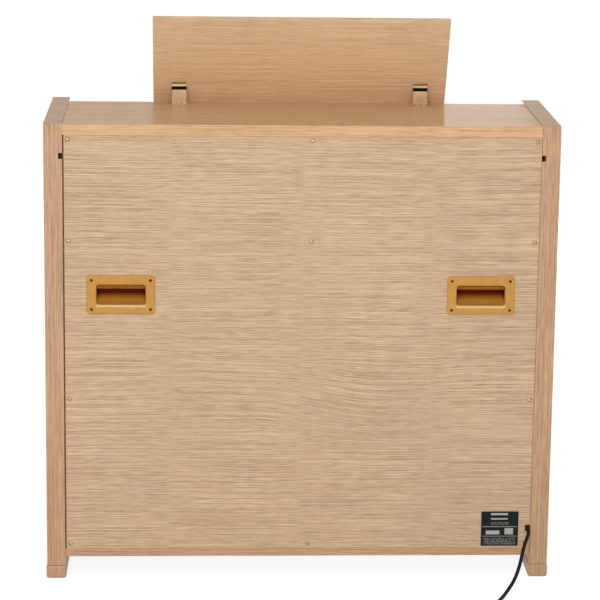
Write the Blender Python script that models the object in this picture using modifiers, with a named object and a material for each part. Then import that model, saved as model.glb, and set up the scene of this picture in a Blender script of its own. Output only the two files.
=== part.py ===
"""Two-manual electronic organ console in light oak, built piece by piece.

Run with:  blender --background --python part.py
Units are metres, +Z is up, the player sits on the -Y side and the back panel faces +Y.
The origin is on the floor, under the middle of the console's box.
"""

import math

import bmesh
import bpy
from mathutils import Matrix, Vector

# Clearances
GAP = 0.0003
RUNNING_GAP = 0.0007

# Case
SIDE_HEIGHT = 1.0738
CASE_DEPTH = 0.640
SIDE_THICKNESS = 0.042
SIDE_TOP_DEPTH = 0.423
LEG_DEPTH = 0.375
FOOT_HEIGHT = 0.033
FOOT_PROUD = 0.0022
FOOT_ROUNDING = 0.006
BOARD_THICKNESS = 0.016

# Keyboards: a compass of five octaves and one key
OCTAVES = 5
NATURAL_PITCH = 0.0235
NATURALS_IN_OCTAVE = 7
NATURAL_WIDTH = 0.0225
NATURAL_HEAD = 0.050
KEY_LENGTH = 0.200
KEY_HEIGHT = 0.018
SHARP_WIDTH = 0.0105
SHARP_RISE = 0.012
KEY_SIDE_GAP = 0.0010
SHARP_FRONT_GAP = 0.0018
KEY_DIP = 0.0100
COMB_BAR = 0.004
COMB_PITCH = 0.006
COMB_TAIL_LIFT = 0.003
PIVOT_RAIL = 0.0045
MANUAL_RISE = 0.065
MANUAL_OVERLAP = 0.108
KEY_DROP = 0.2988
FRAME_WALL = 0.012
FRAME_PLATE = 0.005
CHEEK_WIDTH = 0.1041

# Widths that follow from the keyboards
MANUAL_WIDTH = (NATURALS_IN_OCTAVE * OCTAVES + 1) * NATURAL_PITCH
BETWEEN_CHEEKS = MANUAL_WIDTH / 2 + 0.0030 + FRAME_WALL + GAP
INNER = BETWEEN_CHEEKS + CHEEK_WIDTH + 2 * GAP
OUTER = INNER + SIDE_THICKNESS
BACK = CASE_DEPTH / 2
FRONT = -CASE_DEPTH / 2

# Top, back and bottom boards
TOP_THICKNESS = 0.025
TOP_DROP = 0.0013
TOP_DEPTH = 0.343
TOP_SURFACE = SIDE_HEIGHT - TOP_DROP
TOP_FRONT = BACK - TOP_DEPTH
BOTTOM_LOW = 0.0537
BOTTOM_THICKNESS = 0.0192
BOTTOM_TOP = BOTTOM_LOW + BOTTOM_THICKNESS
BACK_INSET = 0.0035
BACK_FACE = BACK - BACK_INSET
BACK_WIDE_GAP = 0.0033
CLEAT = 0.020
SCREW_CENTRE = -0.021

# Key stack heights and places, from the side's top down and from the front in
LOWER_KEY_TOP = SIDE_HEIGHT - KEY_DROP
UPPER_KEY_TOP = LOWER_KEY_TOP + MANUAL_RISE
SLIP_THICKNESS = 0.0115
SLIP_SET_BACK = 0.014
SLIP_TO_KEYS = 0.0025
LOWER_SLIP_FRONT = FRONT + SLIP_SET_BACK
LOWER_KEY_FRONT = LOWER_SLIP_FRONT + SLIP_THICKNESS + SLIP_TO_KEYS
UPPER_KEY_FRONT = LOWER_KEY_FRONT + MANUAL_OVERLAP
UPPER_SLIP_FRONT = UPPER_KEY_FRONT - SLIP_TO_KEYS - SLIP_THICKNESS
KEYBED_THICKNESS = 0.018
KEYBED_TOP = LOWER_KEY_TOP - 0.067
KEYBED_LOW = KEYBED_TOP - KEYBED_THICKNESS

# Stop board with its rocker tabs
STOP_BOARD_LEAN = math.radians(20)
STOP_BOARD_HEIGHT = 0.050
STOP_BOARD_THICKNESS = 0.010
STOP_BOARD_SETBACK = 0.139
TAB_LENGTH = 0.034
TAB_WIDTH = 0.0150
TAB_THICKNESS = 0.008
TAB_PITCH = 0.0175
TAB_PROUD = 0.004
TAB_GROUPS = {"stop_tabs_pedal": (-0.285, 7), "stop_tabs_lower": (-0.095, 9), "stop_tabs_upper": (0.130, 10)}

# Power switch and volume knob
ROCKER_TILT = math.radians(6)
ROCKER_PIVOT_HEIGHT = 0.0040
BEZEL_HALF_SIZE = (0.012, 0.016)
BEZEL_THICKNESS = 0.0035
KNOB_RADIUS = 0.014
KNOB_HEIGHT = 0.016

# Sliding lid
LID_THICKNESS = 0.012
GROOVE_DEPTH = 0.009
GROOVE_DROP = 0.0738
LID_OVER_STOPS = 0.0175
LID_RAIL_THICKNESS = 0.017
LID_RAIL_HEIGHT = 0.033
LID_TRAVEL = 0.260

# Music desk
DESK_LEAN = math.radians(29.3)
DESK_LENGTH = 0.239
DESK_THICKNESS = 0.017
DESK_WIDTH = 0.694
DESK_CENTRE = -0.003
DESK_ON_TOP = 0.004
LEDGE_DEPTH = 0.045
LEDGE_THICKNESS = 0.015
BRACKET_OFFSET = 0.286
BRACKET_WIDTH = 0.0345
BRACKET_HEIGHT = 0.0338
HOOK_BEND_HEIGHT = 0.0445
BRACKET_FLANGE = 0.0165
POCKET_HEIGHT = 0.014
HOOK_REACH = 0.0605
SHEET = 0.0015

# Recessed handles in the back panel
HANDLE_INSET = 0.131
HANDLE_DROP = 0.3945
HANDLE_WIDTH = 0.155
HANDLE_HEIGHT = 0.090
HANDLE_OPENING_WIDTH = 0.112
HANDLE_OPENING_HEIGHT = 0.047
HANDLE_FLANGE = 0.003
HANDLE_DEPTH = 0.040
HANDLE_WALL = 0.003

# Rating plate, left bare
PLATE_WIDTH = 0.0896
PLATE_HEIGHT = 0.0864
PLATE_THICKNESS = 0.0008
PLATE_FROM_SIDE = 0.0268
PLATE_ABOVE_BOARD = 0.0030

# Knee board, speakers and swell pedals
KNEE_DEPTH = 0.340
GRILLE_WIDTH = 0.320
GRILLE_HEIGHT = 0.260
GRILLE_THICKNESS = 0.012
GRILLE_CENTRE_X = 0.345
GRILLE_DROP = 0.200
SPEAKER_RADIUS = 0.090
SPEAKER_DEPTH = 0.072
PEDAL_WIDTH = 0.095
PEDAL_CENTRE_X = 0.057
PEDAL_TILT = math.radians(48)
PEDAL_THICKNESS = 0.016
PEDAL_HEEL = 0.135
PEDAL_TOE = 0.100
PEDAL_AXLE_RADIUS = 0.005
PEDAL_AXLE_Z = 0.205
PEDAL_AXLE_SETBACK = 0.040
PEDAL_BOX_WIDTH = 0.260
PEDAL_BOX_DEPTH = 0.143
PEDAL_BOX_HEIGHT = 0.276
PEDAL_BOX_WALL = 0.003

# Mains cord
CORD_RADIUS = 0.00425
CORD_EXIT_Z = 0.1205
NOTCH_WIDTH = 0.012
NOTCH_HEIGHT = 0.015
TIE_THICKNESS = 0.0010
COIL_GAP = 0.0007
COIL_OUTER = 0.0574
COIL_TURNS = 2.25
COIL_POINTS_PER_TURN = 24


def new_collection(name):
    """Makes a collection in the scene."""
    made = bpy.data.collections.new(name)
    bpy.context.scene.collection.children.link(made)
    return made


def finish(name, colour, roughness, metallic=0.0):
    """Makes one plain Principled material."""
    made = bpy.data.materials.new(name)
    made.use_nodes = True
    shader = made.node_tree.nodes["Principled BSDF"]
    shader.inputs["Base Color"].default_value = (*colour, 1.0)
    shader.inputs["Roughness"].default_value = roughness
    shader.inputs["Metallic"].default_value = metallic
    return made


def add(name, data, material, place=(0, 0, 0)):
    """Links an object of this data, with its own copy of the material."""
    obj = bpy.data.objects.new(name, data)
    obj.location = place
    own = material.copy()
    own.name = name
    data.materials.append(own)
    ORGAN.objects.link(obj)
    return obj


def box_into(bm, low, high):
    """Adds one box between two opposite corners."""
    one, other = Vector(low), Vector(high)
    size = [abs(length) for length in other - one]
    place = Matrix.Translation((one + other) / 2) @ Matrix.Diagonal((*size, 1.0))
    bmesh.ops.create_cube(bm, size=1.0, matrix=place)


def rod_into(bm, centre, radius, length, axis="Z", segments=12, radius_top=None):
    """Adds one cylinder or cone, centred on a point, along X, Y or Z."""
    turn = {"X": Matrix.Rotation(math.pi / 2, 4, "Y"), "Y": Matrix.Rotation(-math.pi / 2, 4, "X")}
    place = Matrix.Translation(centre) @ turn.get(axis, Matrix.Identity(4))
    bmesh.ops.create_cone(bm, cap_ends=True, segments=segments, radius1=radius,
                          radius2=radius if radius_top is None else radius_top, depth=length, matrix=place)


def mesh_from(name, fill):
    """Makes a mesh from a function that fills a bmesh."""
    bm = bmesh.new()
    fill(bm)
    mesh = bpy.data.meshes.new(name)
    bm.to_mesh(mesh)
    bm.free()
    return mesh


def solids(name, material, fill, origin=(0, 0, 0)):
    """Makes one object from primitives given in world coordinates, with its own origin."""
    def fill_from_origin(bm):
        fill(bm)
        bmesh.ops.translate(bm, verts=bm.verts, vec=-Vector(origin))
    return add(name, mesh_from(name, fill_from_origin), material, origin)


def box(name, low, high, material):
    """Makes one box between two corners."""
    return solids(name, material, lambda bm: box_into(bm, low, high))


def rounded(corners, steps=5):
    """Turns (u, v, radius) corners into points, with an arc at each corner that has a radius."""
    points = []
    count = len(corners)
    for i, (u, v, radius) in enumerate(corners):
        here = Vector((u, v))
        if not radius:
            points.append(here)
            continue
        before = (Vector(corners[i - 1][:2]) - here).normalized()
        after = (Vector(corners[(i + 1) % count][:2]) - here).normalized()
        half = before.angle(after) / 2
        centre = here + (before + after).normalized() * (radius / math.sin(half))
        start = here + before * (radius / math.tan(half)) - centre
        turn = start.angle_signed(here + after * (radius / math.tan(half)) - centre)
        for k in range(steps + 1):
            arm = start.copy()
            arm.rotate(Matrix.Rotation(-turn * k / steps, 2))
            points.append(centre + arm)
    return points


def outline_curve(name, outlines, thickness):
    """Makes a filled 2D curve of closed outlines, with a thickness centred on its plane."""
    curve = bpy.data.curves.new(name, "CURVE")
    curve.dimensions = "2D"
    curve.fill_mode = "BOTH"
    curve.extrude = thickness / 2
    for outline in outlines:
        spline = curve.splines.new("POLY")
        spline.points.add(len(outline) - 1)
        for point, (u, v) in zip(spline.points, outline):
            point.co = (u, v, 0.0, 1.0)
        spline.use_cyclic_u = True
    return curve


SIDE_ON = Matrix(((0, 0, 1, 0), (1, 0, 0, 0), (0, 1, 0, 0), (0, 0, 0, 1)))
FRONT_ON = Matrix(((1, 0, 0, 0), (0, 0, -1, 0), (0, 1, 0, 0), (0, 0, 0, 1)))


def to_mesh(obj):
    """Replaces a curve object by a welded mesh object of the same name and place."""
    bpy.context.view_layer.update()
    evaluated = obj.evaluated_get(bpy.context.evaluated_depsgraph_get())
    mesh = bpy.data.meshes.new_from_object(evaluated)
    bm = bmesh.new()
    bm.from_mesh(mesh)
    bmesh.ops.remove_doubles(bm, verts=bm.verts, dist=0.00001)
    bmesh.ops.recalc_face_normals(bm, faces=bm.faces)
    bm.to_mesh(mesh)
    bm.free()
    name = obj.name
    place = obj.matrix_world.copy()
    bpy.data.objects.remove(obj)
    made = bpy.data.objects.new(name, mesh)
    made.matrix_world = place
    ORGAN.objects.link(made)
    return made


def side_plate(name, outline, x_middle, thickness, material, origin=(0.0, 0.0)):
    """Makes a solid from a (y, z) outline, across X, with its origin at a given (y, z)."""
    local = [(y - origin[0], z - origin[1]) for y, z in outline]
    obj = add(name, outline_curve(name, [local], thickness), material)
    obj.matrix_world = Matrix.Translation((x_middle, origin[0], origin[1])) @ SIDE_ON
    return to_mesh(obj)


def hidden_cutter(name, mesh):
    """Makes an object that only cuts."""
    obj = bpy.data.objects.new(name, mesh)
    CUTTERS.objects.link(obj)
    obj.hide_render = True
    obj.display_type = "WIRE"
    return obj


def cut(obj, name, fill):
    """Cuts primitives, given in world coordinates, out of an object."""
    modifier = obj.modifiers.new(name, "BOOLEAN")
    modifier.operation = "DIFFERENCE"
    modifier.solver = "EXACT"
    modifier.object = hidden_cutter(name, mesh_from(name, fill))


def join(obj, name, fill):
    """Joins primitives, given in world coordinates, to an object."""
    modifier = obj.modifiers.new(name, "BOOLEAN")
    modifier.operation = "UNION"
    modifier.solver = "EXACT"
    modifier.object = hidden_cutter(name, mesh_from(name, fill))


def bevel(obj, width, segments=2, angle=40):
    """Rounds the sharp edges of an object."""
    modifier = obj.modifiers.new("rounding", "BEVEL")
    modifier.width = width
    modifier.segments = segments
    modifier.limit_method = "ANGLE"
    modifier.angle_limit = math.radians(angle)


def turned(name, profile, steps, material, place):
    """Makes a turned piece from a profile of (radius, height) that runs down its outer side."""
    bm = bmesh.new()
    vertices = [bm.verts.new((reach, 0, height)) for reach, height in profile]
    for one, other in zip(vertices, vertices[1:]):
        bm.edges.new((one, other))
    mesh = bpy.data.meshes.new(name)
    bm.to_mesh(mesh)
    bm.free()
    obj = add(name, mesh, material)
    obj.matrix_world = place
    screw = obj.modifiers.new("turning", "SCREW")
    screw.steps = steps
    screw.render_steps = steps
    screw.merge_threshold = 0.00005
    screw.use_merge_vertices = True
    return obj


for old in list(bpy.data.objects):
    bpy.data.objects.remove(old)
ORGAN = new_collection("electronic_organ")
CUTTERS = new_collection("cutters")
OAK = finish("oak", (0.58, 0.39, 0.24), 0.5)
OAK_PALE = finish("oak_pale", (0.64, 0.46, 0.31), 0.5)
OCHRE = finish("ochre_plastic", (0.60, 0.33, 0.09), 0.4)
BRASS = finish("brass", (0.70, 0.53, 0.24), 0.3, 1.0)
STEEL = finish("steel", (0.55, 0.55, 0.56), 0.35, 1.0)
BLACK = finish("black_plastic", (0.02, 0.02, 0.02), 0.45)
IVORY = finish("ivory_plastic", (0.86, 0.83, 0.75), 0.25)
EBONY = finish("ebony_plastic", (0.02, 0.018, 0.016), 0.3)
RUBBER = finish("rubber", (0.03, 0.03, 0.03), 0.8)
GREEN = finish("circuit_board", (0.02, 0.16, 0.07), 0.5)
CLOTH = finish("speaker_cloth", (0.10, 0.07, 0.05), 0.9)


# Sliding lid's line: it passes over the stop board and leaves the side at its back edge
STOP_FOOT_Y = UPPER_KEY_FRONT + STOP_BOARD_SETBACK
STOP_FOOT_Z = UPPER_KEY_TOP + 0.0165
STOP_TOP_Y = STOP_FOOT_Y + STOP_BOARD_HEIGHT * math.sin(STOP_BOARD_LEAN)
STOP_TOP_Z = STOP_FOOT_Z + STOP_BOARD_HEIGHT * math.cos(STOP_BOARD_LEAN)
LID_BACK_Z = SIDE_HEIGHT - GROOVE_DROP
LID_SLOPE = math.atan2(LID_BACK_Z - STOP_TOP_Z - LID_OVER_STOPS, BACK - STOP_TOP_Y)


def lid_z(y):
    """Height of the middle of the lid's panel above a place along the case."""
    return LID_BACK_Z - (BACK - y) * math.tan(LID_SLOPE)


def lid_slab(bm, y_front, y_back, half_width, thickness):
    """Adds a slab that lies along the lid's line, between two places along the case."""
    length = (y_back - y_front) / math.cos(LID_SLOPE)
    middle = Vector((0, (y_front + y_back) / 2, lid_z((y_front + y_back) / 2)))
    turn = Matrix.Rotation(LID_SLOPE, 4, "X")
    place = Matrix.Translation(middle) @ turn @ Matrix.Diagonal((2 * half_width, length, thickness, 1.0))
    bmesh.ops.create_cube(bm, size=1.0, matrix=place)


RAIL_FRONT = STOP_FOOT_Y - 0.0145
LID_FRONT = RAIL_FRONT + LID_RAIL_THICKNESS
LID_REAR = BACK_FACE - BOARD_THICKNESS - GAP - CLEAT - 0.010
GROOVE_FRONT = LID_FRONT - LID_TRAVEL * math.cos(LID_SLOPE) - 0.002


def side_outline():
    """The side panel seen from the side: leg, arm under the keys, and the step up to the top."""
    top_front = BACK - SIDE_TOP_DEPTH
    leg_front = BACK - LEG_DEPTH
    over_groove = 0.023
    step_y = top_front - 0.025
    return rounded([
        (BACK, FOOT_HEIGHT + GAP, 0),
        (BACK, SIDE_HEIGHT, 0.003),
        (top_front, SIDE_HEIGHT, 0.028),
        (step_y, lid_z(step_y) + LID_THICKNESS / 2 + over_groove, 0.050),
        (FRONT, lid_z(FRONT) + LID_THICKNESS / 2 + over_groove, 0.018),
        (FRONT, KEYBED_LOW + 0.012, 0.045),
        (leg_front - 0.020, KEYBED_LOW - 0.048, 0.060),
        (leg_front, FOOT_HEIGHT + GAP, 0),
    ])


def make_sides():
    """Side panels with the lid's groove, and the runners that they stand on."""
    for word, sign in (("left", -1), ("right", 1)):
        x = sign * (INNER + OUTER) / 2
        panel = side_plate(f"side_panel_{word}", side_outline(), x, SIDE_THICKNESS, OAK)
        groove = LID_THICKNESS + 2 * RUNNING_GAP
        cut(panel, f"groove_{word}",
            lambda bm: lid_slab(bm, GROOVE_FRONT, BACK + 0.010, INNER + GROOVE_DEPTH, groove))
        foot = box(f"foot_{word}", (sign * (INNER - FOOT_PROUD), FRONT, 0),
                   (sign * (OUTER + FOOT_PROUD), BACK, FOOT_HEIGHT), OAK)
        bevel(foot, FOOT_ROUNDING, 2)


def make_boards():
    """Top, bottom, knee board, key bed, fascia and the frame that the back is screwed to."""
    edge = INNER - GAP
    box("top_panel", (-edge, TOP_FRONT, TOP_SURFACE - TOP_THICKNESS), (edge, BACK - 0.0005, TOP_SURFACE), OAK)
    knee = FRONT + KNEE_DEPTH
    box("bottom_board", (-edge, knee, BOTTOM_LOW), (edge, BACK_FACE, BOTTOM_TOP), OAK)
    rear_of_bed = BACK_FACE - HANDLE_DEPTH - 0.003
    box("key_bed", (-edge, LOWER_SLIP_FRONT, KEYBED_LOW), (edge, rear_of_bed, KEYBED_TOP), OAK)
    fascia_low = lid_z(TOP_FRONT) + LID_THICKNESS / 2 + 0.006
    box("fascia_board", (-edge, TOP_FRONT + 0.003, fascia_low),
        (edge, TOP_FRONT + 0.003 + BOARD_THICKNESS, TOP_SURFACE - TOP_THICKNESS - GAP), OAK)
    board = box("knee_board", (-edge, knee, BOTTOM_TOP + GAP),
                (edge, knee + BOARD_THICKNESS, KEYBED_LOW - GAP), OAK)

    def knee_holes(bm):
        for sign in (-1, 1):
            rod_into(bm, (sign * GRILLE_CENTRE_X, knee, KEYBED_LOW - GRILLE_DROP), SPEAKER_RADIUS - 0.012,
                     0.100, "Y", 20)
        inside = PEDAL_BOX_WIDTH / 2 - PEDAL_BOX_WALL
        box_into(bm, (-inside, knee - 0.05, BOTTOM_TOP + 0.030),
                 (inside, knee + 0.05, BOTTOM_TOP + PEDAL_BOX_HEIGHT - PEDAL_BOX_WALL))
    cut(board, "knee_holes", knee_holes)

    low, high = BOTTOM_TOP + GAP, TOP_SURFACE - TOP_THICKNESS - GAP
    post = [SCREW_CENTRE - CLEAT / 2, SCREW_CENTRE + CLEAT / 2]
    outer = [(-edge, low), (edge, low), (edge, high), (-edge, high)]
    windows = [[(left, low + CLEAT), (right, low + CLEAT), (right, high - CLEAT), (left, high - CLEAT)]
               for left, right in ((-edge + CLEAT, post[0]), (post[1], edge - CLEAT))]
    frame = add("back_frame", outline_curve("back_frame", [outer, *windows], CLEAT), OAK)
    middle = BACK_FACE - BOARD_THICKNESS - GAP - CLEAT / 2
    frame.matrix_world = Matrix.Translation((0, middle, 0)) @ FRONT_ON
    to_mesh(frame)


def handle_places():
    """Middles of the two recessed handles, as (x, z)."""
    return [(sign * (INNER - HANDLE_INSET), SIDE_HEIGHT - HANDLE_DROP) for sign in (-1, 1)]


def make_back():
    """Back panel, the recessed handles and the bare rating plate."""
    panel = box("back_panel", (-(INNER - GAP), BACK_FACE - BOARD_THICKNESS, BOTTOM_TOP + GAP),
                (INNER - BACK_WIDE_GAP, BACK_FACE, TOP_SURFACE - TOP_THICKNESS - GAP), OAK_PALE)

    def cup_holes(bm):
        half_x = HANDLE_OPENING_WIDTH / 2 + HANDLE_WALL + GAP
        half_z = HANDLE_OPENING_HEIGHT / 2 + HANDLE_WALL + GAP
        for x, z in handle_places():
            box_into(bm, (x - half_x, BACK_FACE - 0.05, z - half_z),
                     (x + half_x, BACK_FACE + 0.05, z + half_z))
        box_into(bm, (-INNER, BACK_FACE - 0.05, CORD_EXIT_Z - NOTCH_HEIGHT / 2),
                 (-INNER + NOTCH_WIDTH, BACK_FACE + 0.05, CORD_EXIT_Z + NOTCH_HEIGHT / 2))
    cut(panel, "back_holes", cup_holes)

    for word, (x, z) in zip(("left", "right"), handle_places()):
        make_handle(word, x, z)

    right = -INNER + PLATE_FROM_SIDE
    low = BOTTOM_TOP + PLATE_ABOVE_BOARD
    box("rating_plate", (right, BACK_FACE + GAP, low),
        (right + PLATE_WIDTH, BACK_FACE + GAP + PLATE_THICKNESS, low + PLATE_HEIGHT), BLACK)


def make_handle(word, x, z):
    """One moulded handle cup: a flange on the panel, and an open box let into it."""
    front = BACK_FACE + GAP
    half_w, half_h = HANDLE_OPENING_WIDTH / 2, HANDLE_OPENING_HEIGHT / 2
    corner = 0.008
    outline = rounded([(x - HANDLE_WIDTH / 2, z - HANDLE_HEIGHT / 2, corner),
                       (x + HANDLE_WIDTH / 2, z - HANDLE_HEIGHT / 2, corner),
                       (x + HANDLE_WIDTH / 2, z + HANDLE_HEIGHT / 2, corner),
                       (x - HANDLE_WIDTH / 2, z + HANDLE_HEIGHT / 2, corner)], 3)
    name = f"handle_cup_{word}"
    obj = add(name, outline_curve(name, [outline], HANDLE_FLANGE), OCHRE)
    obj.matrix_world = Matrix.Translation((0, front + HANDLE_FLANGE / 2, 0)) @ FRONT_ON
    cup = to_mesh(obj)
    join(cup, f"cup_{word}", lambda bm: box_into(
        bm, (x - half_w - HANDLE_WALL, front - HANDLE_DEPTH, z - half_h - HANDLE_WALL),
        (x + half_w + HANDLE_WALL, front + HANDLE_FLANGE / 2, z + half_h + HANDLE_WALL)))
    cut(cup, f"hollow_{word}", lambda bm: box_into(
        bm, (x - half_w, front - HANDLE_DEPTH + HANDLE_WALL, z - half_h),
        (x + half_w, front + 0.02, z + half_h)))


def make_lid():
    """Sliding lid: a flat panel in the sides' grooves, with a rail along its front edge."""
    origin = (0, LID_FRONT, lid_z(LID_FRONT))
    half = INNER + GROOVE_DEPTH - 2 * RUNNING_GAP
    solids("lid_panel", OAK, lambda bm: lid_slab(bm, LID_FRONT, LID_REAR, half, LID_THICKNESS), origin)
    low = STOP_TOP_Z + 0.0035
    half = INNER - 0.0015
    rail = solids("lid_rail", OAK, lambda bm: box_into(
        bm, (-half, RAIL_FRONT, low), (half, LID_FRONT - 0.0016, low + LID_RAIL_HEIGHT)), origin)
    bevel(rail, 0.002, 1)


def desk_point(along, through):
    """A point of the music desk as (y, z): along its back face from the foot, and through it to the front."""
    y_foot = TOP_FRONT + DESK_ON_TOP
    return (y_foot + along * math.sin(DESK_LEAN) - through * math.cos(DESK_LEAN),
            TOP_SURFACE + GAP + along * math.cos(DESK_LEAN) + through * math.sin(DESK_LEAN))


def make_desk():
    """Music desk with its ledge, its hook plates, and the brackets that they drop into."""
    foot = desk_point(0, 0)
    front_foot = (foot[0] - DESK_THICKNESS / math.cos(DESK_LEAN), foot[1])
    outline = [foot, desk_point(DESK_LENGTH, 0), desk_point(DESK_LENGTH, DESK_THICKNESS), front_foot]
    side_plate("music_desk", outline, DESK_CENTRE, DESK_WIDTH, OAK, foot)
    near = DESK_THICKNESS + GAP
    start = 0.004 + near * math.tan(DESK_LEAN)
    far = near + LEDGE_DEPTH
    ledge = [desk_point(start, near), desk_point(start, far),
             desk_point(start + LEDGE_THICKNESS, far), desk_point(start + LEDGE_THICKNESS, near)]
    side_plate("desk_ledge", ledge, DESK_CENTRE, DESK_WIDTH, OAK, foot)

    back_at_top = foot[0] + HOOK_BEND_HEIGHT * math.tan(DESK_LEAN)
    tongue_front = back_at_top + 0.0020
    tongue_back = tongue_front + SHEET
    leg_front = tongue_back + 0.0005
    leg_back = leg_front + SHEET
    pocket = tongue_front - 0.0005 - SHEET
    floor = TOP_SURFACE + GAP
    top = floor + BRACKET_HEIGHT
    low_top = floor + POCKET_HEIGHT
    sheet_top = floor + SHEET
    flange = leg_back + BRACKET_FLANGE
    bracket = [(flange, floor), (flange, sheet_top), (leg_back, sheet_top), (leg_back, top),
               (leg_front, top), (leg_front, sheet_top), (pocket + SHEET, sheet_top),
               (pocket + SHEET, low_top), (pocket, low_top), (pocket, floor)]

    def bend_at(y, off):
        """Where a sheet that lies this far off the desk's back reaches a place along the case."""
        return desk_point((y - foot[0] - off * math.cos(DESK_LEAN)) / math.sin(DESK_LEAN), -off)
    hook = [(tongue_front, floor + 0.003), (tongue_back, floor + 0.003), bend_at(tongue_back, GAP + SHEET),
            desk_point(HOOK_REACH, -GAP - SHEET), desk_point(HOOK_REACH, -GAP), bend_at(tongue_front, GAP)]
    for word, sign in (("left", -1), ("right", 1)):
        x = DESK_CENTRE + sign * BRACKET_OFFSET
        side_plate(f"desk_bracket_{word}", bracket, x, BRACKET_WIDTH, BRASS)
        side_plate(f"desk_hook_{word}", hook, x, BRACKET_WIDTH, BRASS, foot)


SHARP_STEPS = (1, 3, 6, 8, 10)
NATURAL_STEPS = (0, 2, 4, 5, 7, 9, 11)
OCTAVE_WIDTH = NATURALS_IN_OCTAVE * NATURAL_PITCH
TAIL_PITCH = OCTAVE_WIDTH / 12


def sharp_middle(step):
    """Middle of a sharp, from its octave's left edge."""
    return (step + 0.5) * TAIL_PITCH


def natural_outline(index, y_front):
    """Outline, from above, of the natural with this number, notched for its sharps."""
    octave, place = divmod(index, NATURALS_IN_OCTAVE)
    left = -MANUAL_WIDTH / 2 + index * NATURAL_PITCH + (NATURAL_PITCH - NATURAL_WIDTH) / 2
    right = left + NATURAL_WIDTH
    base = -MANUAL_WIDTH / 2 + octave * OCTAVE_WIDTH
    step = NATURAL_STEPS[place]
    reach = SHARP_WIDTH / 2 + KEY_SIDE_GAP
    tail_left, tail_right = left, right
    last = index == NATURALS_IN_OCTAVE * OCTAVES
    if step - 1 in SHARP_STEPS:
        tail_left = max(left, base + sharp_middle(step - 1) + reach)
    if step + 1 in SHARP_STEPS and not last:
        tail_right = min(right, base + sharp_middle(step + 1) - reach)
    shoulder = y_front + NATURAL_HEAD
    rear = y_front + KEY_LENGTH
    points = [(left, y_front), (right, y_front)]
    if tail_right < right:
        points += [(right, shoulder), (tail_right, shoulder)]
    points += [(tail_right, rear), (tail_left, rear)]
    if tail_left > left:
        points += [(tail_left, shoulder), (left, shoulder)]
    return points


def tail_middles(first, step):
    """Middle of the rear end of every second natural, from the given one, with its width."""
    spots = []
    for index in range(first, NATURALS_IN_OCTAVE * OCTAVES + 1, step):
        xs = [x for x, y in natural_outline(index, 0) if y == KEY_LENGTH]
        spots.append(((max(xs) + min(xs)) / 2, max(xs) - min(xs)))
    return spots


def add_comb(keys, name, spots, pivot, zone):
    """Joins a set of keys by tails that pass over the other sets' bars to a bar of their own."""
    y_bar = pivot[1] + 0.001 + zone * COMB_PITCH
    z = pivot[2]

    def tails(bm):
        for x, width in spots:
            box_into(bm, (x - width / 2, pivot[1] - 0.002, z + COMB_TAIL_LIFT),
                     (x + width / 2, y_bar + COMB_BAR, z + KEY_HEIGHT - 0.001))

    def risers(bm):
        for x, width in spots:
            box_into(bm, (x - width / 4, y_bar + 0.0005, z - 0.001),
                     (x + width / 4, y_bar + COMB_BAR - 0.0005, z + COMB_TAIL_LIFT + 0.001))
    ends = [x for x, width in spots]
    join(keys, f"{name}_tails", tails)
    join(keys, f"{name}_risers", risers)
    join(keys, f"{name}_bar", lambda bm: box_into(
        bm, (min(ends) - 0.003, y_bar, z - COMB_BAR), (max(ends) + 0.003, y_bar + COMB_BAR, z)))


def make_manual(word, y_front, z_top):
    """One keyboard. No key shares a piece with its neighbour: the naturals are two sets, the sharps one."""
    pivot = (0, y_front + KEY_LENGTH, z_top - KEY_HEIGHT)
    count = NATURALS_IN_OCTAVE * OCTAVES + 1
    for letter, first in (("a", 0), ("b", 1)):
        name = f"{word}_naturals_{letter}"
        outlines = [[(x, y - pivot[1]) for x, y in natural_outline(index, y_front)]
                    for index in range(first, count, 2)]
        keys = add(name, outline_curve(name, outlines, KEY_HEIGHT), IVORY)
        keys.location = (0, pivot[1], z_top - KEY_HEIGHT / 2)
        keys = to_mesh(keys)
        keys.data.transform(Matrix.Translation((0, 0, KEY_HEIGHT / 2)))
        keys.location.z = pivot[2]
        add_comb(keys, name, tail_middles(first, 2), pivot, first)
    middles = [-MANUAL_WIDTH / 2 + octave * OCTAVE_WIDTH + sharp_middle(step)
               for octave in range(OCTAVES) for step in SHARP_STEPS]

    def sharps(bm):
        for x in middles:
            box_into(bm, (x - SHARP_WIDTH / 2, y_front + NATURAL_HEAD + SHARP_FRONT_GAP, z_top - KEY_HEIGHT),
                     (x + SHARP_WIDTH / 2, y_front + KEY_LENGTH, z_top + SHARP_RISE))
    name = f"{word}_sharps"
    add_comb(solids(name, EBONY, sharps, pivot), name, [(x, SHARP_WIDTH) for x in middles], pivot, 2)


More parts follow.
